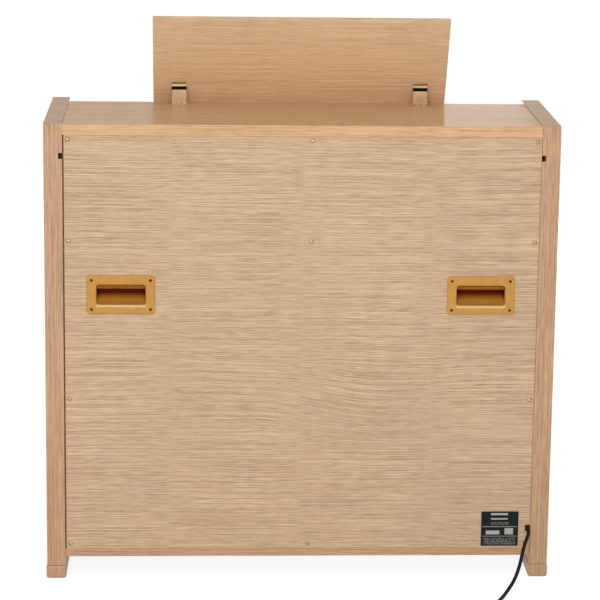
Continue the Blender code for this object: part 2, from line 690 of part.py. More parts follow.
def make_key_frames():
    """Steel chassis of each manual: a plate, a stop rail under the fronts and the rail the keys turn on."""
    half = MANUAL_WIDTH / 2 + 0.0030

    def rails(bm, y_front, z_top, plate_top):
        stop_top = z_top - KEY_HEIGHT - KEY_DIP - 0.0008
        if stop_top > plate_top:
            box_into(bm, (-half, y_front + 0.012, plate_top - 0.001), (half, y_front + 0.030, stop_top))
        box_into(bm, (-half, y_front + KEY_LENGTH - PIVOT_RAIL, plate_top - 0.001),
                 (half, y_front + KEY_LENGTH, z_top - KEY_HEIGHT - GAP))
    low_plate = KEYBED_TOP + GAP + FRAME_PLATE
    lower = box("key_frame_lower", (-half, LOWER_KEY_FRONT + 0.004, KEYBED_TOP + GAP),
                (half, LOWER_KEY_FRONT + KEY_LENGTH, low_plate), STEEL)
    join(lower, "lower_rails", lambda bm: rails(bm, LOWER_KEY_FRONT, LOWER_KEY_TOP, low_plate))
    plate_low = LOWER_KEY_TOP + SHARP_RISE + 0.004
    plate_top = plate_low + FRAME_PLATE
    plate_front = UPPER_KEY_FRONT - SLIP_TO_KEYS + GAP
    rear = UPPER_KEY_FRONT + KEY_LENGTH
    wall = half + FRAME_WALL
    upper = box("key_frame_upper", (-wall, plate_front, plate_low), (wall, rear, plate_top), STEEL)

    def walls(bm):
        for sign in (-1, 1):
            box_into(bm, (sign * (half + GAP), plate_front, KEYBED_TOP + GAP),
                     (sign * wall, rear - 0.01, plate_low + 0.001))
    join(upper, "upper_walls", walls)
    join(upper, "upper_rail", lambda bm: rails(bm, UPPER_KEY_FRONT, UPPER_KEY_TOP, plate_top))


def make_slips():
    """Key slips with their thumb pistons, and the cheeks beside the keys."""
    half = BETWEEN_CHEEKS - GAP
    radius, travel, proud = 0.0050, 0.003, 0.0035
    spots = [-0.30, -0.27, -0.24, -0.21, -0.18, 0.02, 0.05, 0.08, 0.11, 0.14]
    rows = (("lower", LOWER_SLIP_FRONT, KEYBED_TOP + GAP, LOWER_KEY_TOP - 0.005, LOWER_KEY_TOP - 0.0375),
            ("upper", UPPER_SLIP_FRONT, LOWER_KEY_TOP + SHARP_RISE + 0.004, UPPER_KEY_TOP - 0.006,
             UPPER_KEY_TOP - 0.0355))
    for word, y_front, z_low, z_high, z_piston in rows:
        slip = box(f"key_slip_{word}", (-half, y_front, z_low), (half, y_front + SLIP_THICKNESS, z_high), OAK)

        def holes(bm, y=y_front, z=z_piston):
            for x in spots:
                rod_into(bm, (x, y, z), radius + 0.0005, 0.06, "Y", 12)
        cut(slip, f"piston_holes_{word}", holes)

        def pistons(bm, y=y_front, z=z_piston):
            length = SLIP_THICKNESS + proud + 3 * GAP
            for x in spots:
                rod_into(bm, (x, y - proud + length / 2, z), radius, length, "Y", 12)
        row = solids(f"pistons_{word}", IVORY, pistons, (0, y_front - proud, z_piston))
        rear = y_front + SLIP_THICKNESS
        join(row, f"piston_bar_{word}", lambda bm, y=rear, z=z_piston: box_into(
            bm, (min(spots) - 0.003, y + GAP, z - 0.002), (max(spots) + 0.003, y + 0.0015, z + 0.002)))

    stepped = [(LOWER_SLIP_FRONT, KEYBED_TOP + GAP), (LOWER_SLIP_FRONT, LOWER_KEY_TOP + 0.004),
               (UPPER_SLIP_FRONT, LOWER_KEY_TOP + 0.004), (UPPER_SLIP_FRONT, UPPER_KEY_TOP + 0.006),
               (STOP_FOOT_Y - 0.002, UPPER_KEY_TOP + 0.006), (STOP_FOOT_Y - 0.002, KEYBED_TOP + GAP)]
    for word, sign in (("left", -1), ("right", 1)):
        cheek = side_plate(f"key_cheek_{word}", stepped, sign * (BETWEEN_CHEEKS + CHEEK_WIDTH / 2 + GAP),
                           CHEEK_WIDTH, OAK)
        bevel(cheek, 0.003, 1)


def cheek_spot(sign):
    """Middle of the low step on a key cheek, where a control sits."""
    return Vector((sign * (BETWEEN_CHEEKS + CHEEK_WIDTH / 2), (LOWER_SLIP_FRONT + UPPER_SLIP_FRONT) / 2,
                   LOWER_KEY_TOP + 0.004))


def make_controls():
    """Power switch on the left cheek, and volume knob on the right one."""
    spot = cheek_spot(-1)
    half = Vector(BEZEL_HALF_SIZE)
    window = half - Vector((0.0032, 0.0032))
    bezel = box("switch_bezel", spot + Vector((-half.x, -half.y, GAP)),
                spot + Vector((half.x, half.y, BEZEL_THICKNESS)), BLACK)
    cut(bezel, "switch_window", lambda bm: box_into(
        bm, spot + Vector((-window.x, -window.y, -0.01)), spot + Vector((window.x, window.y, 0.01))))
    pivot = Vector((spot.y, spot.z + ROCKER_PIVOT_HEIGHT))
    reach = window.y - 0.0006
    outline = [Vector(corner) for corner in
               ((-reach, -0.0012), (reach, -0.0012), (reach, 0.0033), (0, 0.0014), (-reach, 0.0033))]
    for corner in outline:
        corner.rotate(Matrix.Rotation(-ROCKER_TILT, 2))
    width = 2 * window.x - 0.0006
    side_plate("power_switch", [pivot + corner for corner in outline], spot.x, width, BLACK, pivot)
    spot = cheek_spot(1)

    def knob(bm):
        rod_into(bm, spot + Vector((0, 0, GAP + KNOB_HEIGHT / 2)), KNOB_RADIUS, KNOB_HEIGHT, "Z", 20,
                 KNOB_RADIUS - 0.002)
    solids("volume_knob", BLACK, knob, spot)


def stop_point(along, through):
    """A point of the stop board as (y, z): up its front face from the foot, and through it to the rear."""
    return (STOP_FOOT_Y + along * math.sin(STOP_BOARD_LEAN) + through * math.cos(STOP_BOARD_LEAN),
            STOP_FOOT_Z + along * math.cos(STOP_BOARD_LEAN) - through * math.sin(STOP_BOARD_LEAN))


def make_stops():
    """Leaning stop board with a slot for each division, and its rocker tabs."""
    corners = [stop_point(0, 0), stop_point(STOP_BOARD_HEIGHT, 0),
               stop_point(STOP_BOARD_HEIGHT, STOP_BOARD_THICKNESS), stop_point(0, STOP_BOARD_THICKNESS)]
    board = side_plate("stop_board", corners, 0, 2 * (INNER - GAP), OAK)
    turn = Matrix.Rotation(-STOP_BOARD_LEAN, 4, "X")
    through = STOP_BOARD_THICKNESS / 2
    middle = stop_point(STOP_BOARD_HEIGHT / 2, through)
    centre = Matrix.Translation((0, *middle)) @ turn

    def slots(bm):
        for start, count in TAB_GROUPS.values():
            width = (count - 1) * TAB_PITCH + TAB_WIDTH + 0.002
            place = centre @ Matrix.Translation((start + (count - 1) * TAB_PITCH / 2, 0, 0))
            place = place @ Matrix.Diagonal((width, 0.04, TAB_LENGTH + 0.0026, 1.0))
            bmesh.ops.create_cube(bm, size=1.0, matrix=place)
    cut(board, "tab_slots", slots)
    forward = -(through + TAB_PROUD - TAB_THICKNESS / 2)
    pivot = centre @ Vector((0, forward, 0))
    for name, (start, count) in TAB_GROUPS.items():
        def tabs(bm, first=start, number=count):
            for k in range(number):
                place = centre @ Matrix.Translation((first + k * TAB_PITCH, forward, 0))
                place = place @ Matrix.Diagonal((TAB_WIDTH, TAB_THICKNESS, TAB_LENGTH, 1.0))
                bmesh.ops.create_cube(bm, size=1.0, matrix=place)
        row = solids(name, IVORY, tabs, pivot)

        def bar(bm, first=start, number=count):
            length = (number - 1) * TAB_PITCH
            place = centre @ Matrix.Translation((first + length / 2, forward + TAB_THICKNESS / 2, 0))
            bmesh.ops.create_cube(bm, size=1.0, matrix=place @ Matrix.Diagonal((length, 0.003, 0.004, 1.0)))
        join(row, f"{name}_bar", bar)


def make_pedals():
    """Two swell pedals on one axle, in a steel box behind the knee board."""
    knee = FRONT + KNEE_DEPTH
    rear_face = knee + BOARD_THICKNESS + GAP
    half, wall = PEDAL_BOX_WIDTH / 2, PEDAL_BOX_WALL
    low, high = BOTTOM_TOP + GAP, BOTTOM_TOP + GAP + PEDAL_BOX_HEIGHT
    housing = box("pedal_box", (-half, rear_face, low), (half, rear_face + PEDAL_BOX_DEPTH, high), STEEL)
    cut(housing, "pedal_box_inside", lambda bm: box_into(
        bm, (-half + wall, rear_face - 0.05, low + wall),
        (half - wall, rear_face + PEDAL_BOX_DEPTH - wall, high - wall)))
    axle_y = knee + PEDAL_AXLE_SETBACK
    solids("pedal_axle", STEEL, lambda bm: rod_into(
        bm, (0, axle_y, PEDAL_AXLE_Z), PEDAL_AXLE_RADIUS, 2 * (half - wall - GAP), "X", 12),
        (0, axle_y, PEDAL_AXLE_Z))
    along = Vector((math.cos(PEDAL_TILT), math.sin(PEDAL_TILT)))
    out = Vector((-math.sin(PEDAL_TILT), math.cos(PEDAL_TILT)))
    lug = 0.013

    def at(reach, lift):
        spot = Vector((axle_y, PEDAL_AXLE_Z)) + along * reach + out * lift
        return (spot.x, spot.y)
    shell = [(*at(-PEDAL_HEEL, lug), 0.004), (*at(-lug, lug), 0), (*at(-lug, -lug), 0.006),
             (*at(lug, -lug), 0.006), (*at(lug, lug), 0), (*at(PEDAL_TOE, lug), 0.004),
             (*at(PEDAL_TOE, lug + PEDAL_THICKNESS), 0.006), (*at(-PEDAL_HEEL, lug + PEDAL_THICKNESS), 0.006)]
    for word, sign in (("left", -1), ("right", 1)):
        pedal = side_plate(f"swell_pedal_{word}", rounded(shell, 3), sign * PEDAL_CENTRE_X, PEDAL_WIDTH,
                           RUBBER, (axle_y, PEDAL_AXLE_Z))
        cut(pedal, f"axle_hole_{word}", lambda bm: rod_into(
            bm, (0, axle_y, PEDAL_AXLE_Z), PEDAL_AXLE_RADIUS + GAP, 0.4, "X", 12))


def make_sound():
    """Loudspeakers behind the knee board, their grilles, and the electronics on the bottom board."""
    knee = FRONT + KNEE_DEPTH
    z = KEYBED_LOW - GRILLE_DROP

    for word, sign in (("left", -1), ("right", 1)):
        x = sign * GRILLE_CENTRE_X
        half_w, half_h = GRILLE_WIDTH / 2, GRILLE_HEIGHT / 2
        box(f"speaker_grille_{word}", (x - half_w, knee - GAP - GRILLE_THICKNESS, z - half_h),
            (x + half_w, knee - GAP, z + half_h), CLOTH)
    profile = [(0.0, SPEAKER_DEPTH), (0.045, SPEAKER_DEPTH), (0.045, SPEAKER_DEPTH - 0.022),
               (0.050, SPEAKER_DEPTH - 0.030), (0.074, 0.006), (SPEAKER_RADIUS, 0.004), (SPEAKER_RADIUS, 0.0),
               (0.070, 0.0), (0.025, 0.028), (0.0, 0.022)]
    for word, sign in (("left", -1), ("right", 1)):
        place = Matrix.Translation((sign * GRILLE_CENTRE_X, knee + BOARD_THICKNESS + GAP, z))
        turned(f"speaker_{word}", profile, 20, BLACK, place @ Matrix.Rotation(-math.pi / 2, 4, "X"))
    floor = BOTTOM_TOP + GAP
    rear = BACK_FACE - BOARD_THICKNESS - GAP - CLEAT - 0.020
    fins = [(0.200, floor), (0.460, floor), (0.460, floor + 0.050)]
    for k in range(9):
        right = 0.452 - k * 0.028
        fins += [(right, floor + 0.050), (right, floor + 0.085), (right - 0.010, floor + 0.085),
                 (right - 0.010, floor + 0.050)]
    fins += [(0.200, floor + 0.050)]
    obj = add("amplifier", outline_curve("amplifier", [fins], 0.120), STEEL)
    obj.matrix_world = Matrix.Translation((0, rear - 0.060, 0)) @ FRONT_ON
    to_mesh(obj)
    board = box("main_board", (-0.320, rear - 0.120, floor + 0.012), (-0.150, rear, floor + 0.0136), GREEN)

    def board_parts(bm):
        for x in (-0.312, -0.158):
            for y in (rear - 0.110, rear - 0.010):
                rod_into(bm, (x, y, floor + 0.0063), 0.004, 0.0126, "Z", 8)
        for x, width in ((-0.285, 0.030), (-0.235, 0.024), (-0.190, 0.020)):
            box_into(bm, (x - width / 2, rear - 0.070, floor + 0.013),
                     (x + width / 2, rear - 0.040, floor + 0.0175))
    join(board, "board_parts", board_parts)

    def transformer(bm):
        rod_into(bm, (-0.400, rear - 0.060, floor + 0.0275), 0.055, 0.055, "Z", 20)
    supply = solids("transformer", BLACK, transformer)
    cut(supply, "transformer_hole", lambda bm: rod_into(
        bm, (-0.400, rear - 0.060, floor + 0.05), 0.018, 0.2, "Z", 12))
    bolt = solids("transformer_bolt", STEEL, lambda bm: rod_into(
        bm, (-0.400, rear - 0.060, floor + 0.0300), 0.004, 0.060, "Z", 10))
    join(bolt, "bolt_washer", lambda bm: rod_into(
        bm, (-0.400, rear - 0.060, floor + 0.055 + GAP + 0.0015), 0.026, 0.003, "Z", 16))


def smooth_route(points, spacing):
    """Points about one spacing apart on a smooth curve through the given ones."""
    spots = [Vector(p) for p in points]
    spots = [spots[0] * 2 - spots[1]] + spots + [spots[-1] * 2 - spots[-2]]
    made = []
    for a, b, c, d in zip(spots, spots[1:], spots[2:], spots[3:]):
        pieces = max(1, round((c - b).length / spacing))
        for k in range(pieces):
            t = k / pieces
            made.append(0.5 * ((2 * b) + (c - a) * t + (2 * a - 5 * b + 4 * c - d) * t ** 2
                               + (3 * b - a - 3 * c + d) * t ** 3))
    made.append(spots[-2])
    return made


def tube(name, points, radius, resolution, material):
    """Makes a round tube along points."""
    curve = bpy.data.curves.new(name, "CURVE")
    curve.dimensions = "3D"
    curve.bevel_depth = radius
    curve.bevel_resolution = resolution
    curve.use_fill_caps = True
    spline = curve.splines.new("POLY")
    spline.points.add(len(points) - 1)
    for point, place in zip(spline.points, points):
        point.co = (*place, 1.0)
    return to_mesh(add(name, curve, material))


GROMMET_SLEEVE = 0.020
CORD_EXIT = Vector((-INNER + 0.0065, BACK_FACE))
COIL_MIDDLE = CORD_EXIT + Vector((0.1765, 0.2835))
COIL_START = math.radians(-90)
COIL_PITCH = 2 * CORD_RADIUS + COIL_GAP
COIL_LOW = TIE_THICKNESS + 0.0004 + CORD_RADIUS
COIL_ENTRY = Vector((COIL_MIDDLE.x - 2 * CORD_RADIUS, COIL_MIDDLE.y - COIL_OUTER, COIL_LOW))
PLUG_RADIUS = 0.018
PLUG_AXIS = PLUG_RADIUS + 0.0002
CORD_STEPS = [
    (0.0, GROMMET_SLEEVE + GAP, 0.1205),
    (0.0, GROMMET_SLEEVE + 0.0065, 0.1205),
    (0.0019, 0.0393, 0.1188),
    (0.0071, 0.0525, 0.1118),
    (0.0143, 0.0643, 0.0975),
    (0.0215, 0.0765, 0.0735),
    (0.0277, 0.0865, 0.0545),
    (0.0360, 0.0970, 0.0352),
    (0.0460, 0.1080, 0.0205),
    (0.0585, 0.1255, 0.0098),
    (0.0745, 0.1585, 0.0052),
    (0.0885, 0.1855, 0.0048),
    (0.1085, 0.2090, 0.0050),
    (0.1335, 0.2235, 0.0054),
]
CORD_ROUTE = [(CORD_EXIT.x + x, CORD_EXIT.y + y, z) for x, y, z in CORD_STEPS] + [
    (COIL_ENTRY.x - 0.012, COIL_ENTRY.y, COIL_ENTRY.z),
    (COIL_ENTRY.x - GAP, COIL_ENTRY.y, COIL_ENTRY.z),
]


def coil_points():
    """Centre line of the coil: it spirals in, climbs a layer where the spiral turns back, and spirals out."""
    turns = 2 * COIL_TURNS
    count = round(turns * COIL_POINTS_PER_TURN)
    points = [COIL_ENTRY]
    for k in range(count + 1):
        done = turns * k / count
        inward = min(done, turns - done)
        radius = COIL_OUTER - COIL_PITCH * inward
        climb = min(max((done - COIL_TURNS + 0.25) / 0.5, 0.0), 1.0)
        lift = COIL_PITCH * climb * climb * (3 - 2 * climb)
        angle = COIL_START + math.tau * done
        flat = COIL_MIDDLE + Vector((math.cos(angle), math.sin(angle))) * radius
        points.append(Vector((flat.x, flat.y, COIL_LOW + lift)))
    last = points[-1]
    for along, height in ((0.009, last.z), (0.019, last.z + 0.0014), (0.028, PLUG_AXIS), (0.0375, PLUG_AXIS)):
        points.append(Vector((last.x - along, last.y, height)))
    return points


def least_gap_to_itself(points):
    """Least gap between parts of one tube that are not next to each other."""
    least = 1.0
    window = COIL_POINTS_PER_TURN // 3
    for i, a in enumerate(points[:-1]):
        for j in range(i + window, len(points) - 1):
            c = points[j]
            for k in range(5):
                spot = a.lerp(points[i + 1], k / 4)
                along = points[j + 1] - c
                t = min(max((spot - c).dot(along) / along.length_squared, 0.0), 1.0)
                least = min(least, (spot - c - along * t).length - 2 * CORD_RADIUS)
    return least


def make_cord():
    """Mains cord: grommet in the notch, the free stretch, the coil with its tie, and the plug."""
    x = -INNER + NOTCH_WIDTH / 2
    half_w, half_h = NOTCH_WIDTH / 2 - GAP, NOTCH_HEIGHT / 2 - GAP
    grommet = box("cord_grommet", (x - half_w, BACK_FACE - BOARD_THICKNESS, CORD_EXIT_Z - half_h),
                  (x + half_w, BACK_FACE - 0.001, CORD_EXIT_Z + half_h), BLACK)
    start = Vector(CORD_ROUTE[0])
    join(grommet, "grommet_sleeve", lambda bm: rod_into(
        bm, (start.x, BACK_FACE - 0.002 + (GROMMET_SLEEVE + 0.002) / 2, start.z), CORD_RADIUS + 0.0012,
        GROMMET_SLEEVE + 0.002, "Y", 12, CORD_RADIUS + 0.0004))
    route = smooth_route(CORD_ROUTE, 2.4 * 2 * CORD_RADIUS)
    tube("mains_cord", route, CORD_RADIUS, 2, BLACK)
    coil = coil_points()
    tube("cord_coil", coil, CORD_RADIUS, 1, BLACK)
    print(f"least gap of the coil to itself: {least_gap_to_itself(coil) * 1000:.2f} mm")

    inner_x = COIL_MIDDLE.x + COIL_OUTER - COIL_TURNS * COIL_PITCH - CORD_RADIUS - 0.0013
    outer_x = COIL_MIDDLE.x + COIL_OUTER + CORD_RADIUS + 0.0004
    high = COIL_LOW + COIL_PITCH + CORD_RADIUS + 0.0004
    wall = TIE_THICKNESS
    ring = [rounded([(left, low, r), (right, low, r), (right, top, r), (left, top, r)], 3)
            for left, right, low, top, r in ((inner_x - wall, outer_x + wall, 0.0, high + wall, 0.003),
                                             (inner_x, outer_x, wall, high, 0.002))]
    tie = add("cord_tie", outline_curve("cord_tie", ring, 0.014), RUBBER)
    tie.matrix_world = Matrix.Translation((0, COIL_MIDDLE.y, 0)) @ FRONT_ON
    to_mesh(tie)

    tail = coil[-1] + Vector((-GAP, 0, 0))
    profile = [(0.0, 0.068), (0.0165, 0.068), (PLUG_RADIUS, 0.066), (PLUG_RADIUS, 0.040), (0.0150, 0.032),
               (0.0090, 0.030), (0.0062, 0.0), (0.0, 0.0)]
    place = Matrix.Translation(tail) @ Matrix.Rotation(-math.pi / 2, 4, "Y")
    plug = turned("mains_plug", profile, 16, BLACK, place)
    pin_middle = tail + Vector((-0.068 - 0.0095 + 0.001, 0, 0))

    def pins(bm):
        for side in (-0.0095, 0.0095):
            rod_into(bm, pin_middle + Vector((0, side, 0)), 0.0024, 0.021, "X", 8)
    join(plug, "plug_pins", pins)


make_sides()
make_boards()
make_back()
make_lid()
make_desk()
make_manual("lower", LOWER_KEY_FRONT, LOWER_KEY_TOP)
make_manual("upper", UPPER_KEY_FRONT, UPPER_KEY_TOP)
make_key_frames()
make_slips()
make_controls()
make_stops()
make_pedals()
make_sound()
make_cord()
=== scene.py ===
"""Looks of a two-manual electronic organ.

Each class of the last section makes or dresses one part of it: case, handles, music desk, manuals, stops,
pedals, loudspeakers and mains lead. Units are metres, and the organ's back faces +Y.
"""

from __future__ import annotations

import logging
import math
from collections.abc import Sequence
from dataclasses import dataclass, field
from enum import Enum

import bmesh
import bpy
from mathutils import Matrix, Vector


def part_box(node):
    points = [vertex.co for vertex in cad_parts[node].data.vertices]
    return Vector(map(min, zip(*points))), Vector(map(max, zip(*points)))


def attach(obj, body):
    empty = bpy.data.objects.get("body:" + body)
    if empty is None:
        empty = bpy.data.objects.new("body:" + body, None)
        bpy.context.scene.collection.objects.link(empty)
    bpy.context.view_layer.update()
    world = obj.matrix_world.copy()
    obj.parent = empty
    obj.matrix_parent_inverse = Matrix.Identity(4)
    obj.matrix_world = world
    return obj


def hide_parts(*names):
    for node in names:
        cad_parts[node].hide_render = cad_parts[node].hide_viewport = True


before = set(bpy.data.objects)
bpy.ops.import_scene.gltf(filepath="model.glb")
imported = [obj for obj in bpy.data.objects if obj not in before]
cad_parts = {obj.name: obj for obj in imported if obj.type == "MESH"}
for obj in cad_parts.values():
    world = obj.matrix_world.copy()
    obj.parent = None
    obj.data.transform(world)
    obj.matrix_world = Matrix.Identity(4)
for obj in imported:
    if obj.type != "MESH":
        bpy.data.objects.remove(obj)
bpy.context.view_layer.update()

GAP = 0.0003
BACK_FACE = 0.3165
TOP_SURFACE = 1.0725

log = logging.getLogger("organ")

Colour = tuple[float, float, float, float]


def shade(red: int, green: int, blue: int) -> Colour:
    """Turn a screen colour of 0 to 255 into the linear one that shaders take.

    Args:
        red: red part.
        green: green part.
        blue: blue part.

    Returns:
        The linear colour with full alpha.
    """
    parts = [c / 255 for c in (red, green, blue)]
    return (*(c / 12.92 if c <= 0.04045 else ((c + 0.055) / 1.055) ** 2.4 for c in parts), 1.0)


# Shaders


class Value:
    """Number that varies over a surface and takes part in Python sums."""

    def __init__(self, shader: Shader, socket: bpy.types.NodeSocket) -> None:
        """Keep the shader and the socket that the number comes from."""
        self.shader = shader
        self.socket = socket

    def apply(self, operation: str, *terms: Value | float) -> Value:
        """Add a Math node.

        Args:
            operation: name of the operation.
            terms: what it works on, in order.

        Returns:
            The result.
        """
        node = self.shader.node("ShaderNodeMath", {"operation": operation}, dict(enumerate(terms)))
        return Value(self.shader, node.outputs[0])

    def __add__(self, other: Value | float) -> Value:
        """Sum."""
        return self.apply("ADD", self, other)

    def __radd__(self, other: float) -> Value:
        """Sum with the number first."""
        return self.apply("ADD", other, self)

    def __sub__(self, other: Value | float) -> Value:
        """Difference."""
        return self.apply("SUBTRACT", self, other)

    def __rsub__(self, other: float) -> Value:
        """Difference with the number first."""
        return self.apply("SUBTRACT", other, self)

    def __mul__(self, other: Value | float) -> Value:
        """Product."""
        return self.apply("MULTIPLY", self, other)

    def __rmul__(self, other: float) -> Value:
        """Product with the number first."""
        return self.apply("MULTIPLY", other, self)

    def __abs__(self) -> Value:
        """Size without sign."""
        return self.apply("ABSOLUTE", self)

    def __lt__(self, other: Value | float) -> Value:
        """One where it is less, else zero."""
        return self.apply("LESS_THAN", self, other)

    def __gt__(self, other: Value | float) -> Value:
        """One where it is more, else zero."""
        return self.apply("GREATER_THAN", self, other)

    def floor(self) -> Value:
        """Whole part."""
        return self.apply("FLOOR", self)

    def fract(self) -> Value:
        """What is left above the whole part."""
        return self.apply("FRACT", self)

    def sine(self) -> Value:
        """Sine of an angle in radians."""
        return self.apply("SINE", self)

    def rise(self, low: float, high: float) -> Value:
        """Climb smoothly from zero at low to one at high.

        Args:
            low: where the climb starts.
            high: where it ends, which may be the smaller of the two.

        Returns:
            The smooth step.
        """
        ends = {"Value": self, "From Min": low, "From Max": high}
        node = self.shader.node("ShaderNodeMapRange", {"interpolation_type": "SMOOTHSTEP"}, ends)
        return Value(self.shader, node.outputs[0])


class Shader:
    """One material and the nodes that are added to it."""

    def __init__(self, name: str) -> None:
        """Start an empty material."""
        self.material = bpy.data.materials.new(name)
        self.material.use_nodes = True
        self.tree = self.material.node_tree
        self.tree.nodes.clear()

    def node(self, kind: str, settings: dict[str, object] | None = None,
             inputs: dict[str | int, object] | None = None) -> bpy.types.Node:
        """Add a node, set it and feed its sockets.

        Args:
            kind: the node's type.
            settings: its own properties, which are set first.
            inputs: a value, a Value or a socket for each socket, by name or number.

        Returns:
            The node.
        """
        made = self.tree.nodes.new(kind)
        for name, value in (settings or {}).items():
            setattr(made, name, value)
        for name, value in (inputs or {}).items():
            source = value.socket if isinstance(value, Value) else value
            if isinstance(source, bpy.types.NodeSocket):
                self.tree.links.new(source, made.inputs[name])
            else:
                made.inputs[name].default_value = source
        return made

    def place(self) -> tuple[Value, Value, Value]:
        """Coordinates of the surface in metres.

        Returns:
            Along the case, through it and up.
        """
        source = self.node("ShaderNodeTexCoord").outputs["Object"]
        parts = self.node("ShaderNodeSeparateXYZ", inputs={0: source})
        return tuple(Value(self, socket) for socket in parts.outputs)

    def noise(self, x: Value | float, y: Value | float, z: Value | float, detail: float = 2.0,
              roughness: float = 0.5) -> Value:
        """Soft noise between about 0.2 and 0.8.

        Args:
            x: first coordinate, already in units of the noise.
            y: second coordinate.
            z: third coordinate.
            detail: how many finer layers are added.
            roughness: how strong the finer layers are.

        Returns:
            The noise.
        """
        spot = self.node("ShaderNodeCombineXYZ", inputs={0: x, 1: y, 2: z}).outputs[0]
        made = self.node("ShaderNodeTexNoise", inputs={
            "Vector": spot, "Scale": 1.0, "Detail": detail, "Roughness": roughness})
        return Value(self, made.outputs[0])

    def mix(self, factor: Value, first: object, second: object) -> bpy.types.NodeSocket:
        """Blend two colours.

        Args:
            factor: zero for the first, one for the second.
            first: a colour or a colour socket.
            second: a colour or a colour socket.

        Returns:
            The blend's socket.
        """
        made = self.node("ShaderNodeMix", {"data_type": "RGBA"}, {0: factor, 6: first, 7: second})
        return made.outputs[2]

    def bump(self, height: Value, depth: float, strength: float = 1.0) -> bpy.types.NodeSocket:
        """Relief.

        Args:
            height: zero for low and one for high.
            depth: difference in metres between the two.
            strength: how much of it shows.

        Returns:
            The normal's socket.
        """
        made = self.node("ShaderNodeBump", inputs={"Strength": strength, "Distance": depth, "Height": height})
        return made.outputs[0]

    def surface(self, inputs: dict[str, object]) -> None:
        """End in a Principled shader with these sockets."""
        shader = self.node("ShaderNodeBsdfPrincipled", inputs=inputs)
        self.node("ShaderNodeOutputMaterial", inputs={0: shader.outputs[0]})


class WorldShader(Shader):
    """The world's nodes."""

    def __init__(self, name: str) -> None:
        """Start an empty world."""
        world = bpy.data.worlds.new(name)
        world.use_nodes = True
        bpy.context.scene.world = world
        self.tree = world.node_tree
        self.tree.nodes.clear()


# Finishes


class Grain(Enum):
    """Way that the grain of a board runs."""

    ALONG = 0
    THROUGH = 1
    UPRIGHT = 2


@dataclass(frozen=True)
class Finish:
    """How a surface looks, with the record's slot for it."""

    slot: str

    def paint(self, shader: Shader) -> None:
        """Add this finish's nodes."""
        raise NotImplementedError

    def material(self) -> bpy.types.Material:
        """Give the finish's material, which is made once."""
        if self not in MATERIALS:
            shader = Shader(f"{self.slot}_{len(MATERIALS)}")
            self.paint(shader)
            MATERIALS[self] = shader.material
        return MATERIALS[self]


MATERIALS: dict[Finish, bpy.types.Material] = {}


@dataclass(frozen=True)
class Oak(Finish):
    """Light oak under satin lacquer.

    The grain is made of long growth lines, wide bands, short streaks and pores. A rate is how many of them
    lie in a metre across the grain, and a run is how many follow each other in a metre along it. The arch is
    how far the lines sway, and the fan how far they are pushed apart in the fan's place.
    """

    grain: Grain = Grain.ALONG
    light: Colour = shade(205, 165, 127)
    dark: Colour = shade(167, 128, 92)
    roughness: float = 0.45
    seed: float = 1.0
    arch: float = 0.016
    ripple: float = 0.002
    shine: float = 0.4
    fan: float = 0.0
    fan_along: tuple[float, float] = (0.10, -0.20)
    fan_below: tuple[float, float] = (0.61, 0.72)
    fan_above: tuple[float, float] = (0.88, 0.73)
    line_rate: float = 580.0
    line_run: float = 3.2
    band_rate: float = 30.0
    band_run: float = 2.4
    pore_rate: float = 1000.0
    pore_run: float = 30.0
    streak_rate: float = 640.0
    streak_run: float = 20.0

    def bend(self, shader: Shader, along: Value, across: Value) -> Value:
        """Place across the grain, bent so that lines of equal place sway as growth lines do.

        Args:
            shader: the nodes that it goes into.
            along: place along the grain.
            across: place across it.

        Returns:
            The bent place across the grain.
        """
        sway = shader.noise(along * 2.1, across * 4.2, self.seed, 1.0, 0.5) - 0.5
        ripple = shader.noise(along * 14.0, across * 22.0, self.seed + 4.0, 1.0, 0.5) - 0.5
        bent = across + sway * self.arch + ripple * self.ripple
        if self.fan:
            spread = along.rise(*self.fan_along) * across.rise(*self.fan_below) * across.rise(*self.fan_above)
            bent = bent + spread * self.fan
        return bent

    def paint(self, shader: Shader) -> None:
        """Add the grain's nodes."""
        axes = shader.place()
        along = axes[self.grain.value]
        side_a, side_b = [axis for axis in axes if axis is not along]
        bent = self.bend(shader, along, side_a + side_b)

        def strands(run: float, rate: float, step: float, roughness: float) -> Value:
            """Noise drawn out along the grain, in a layer of its own."""
            return shader.noise(along * run, bent * rate, self.seed + step, 1.0, roughness)

        lines = strands(self.line_run, self.line_rate, 9.0, 0.6).rise(0.40, 0.60)
        bands = strands(self.band_run, self.band_rate, 14.0, 0.5).rise(0.35, 0.70)
        pores = strands(self.pore_run, self.pore_rate, 20.0, 0.5).rise(0.56, 0.68) * (0.35 + lines * 0.65)
        streak = strands(self.streak_run, self.streak_rate, 27.0, 0.6).rise(0.38, 0.62)
        tone = lines * 0.62 + bands * 0.06 + streak * 0.52 - 0.10
        colour = shader.mix(tone, self.light, self.dark)
        deep = tuple(c * 0.62 for c in self.dark[:3]) + (1.0,)
        shader.surface({
            "Base Color": shader.mix(pores * 0.4, colour, deep),
            "Roughness": self.roughness + streak * 0.06 + pores * 0.16 - 0.05,
            "Specular IOR Level": self.shine,
            "Normal": shader.bump(1.0 - pores - streak * 0.3, 0.00016, 0.45),
        })


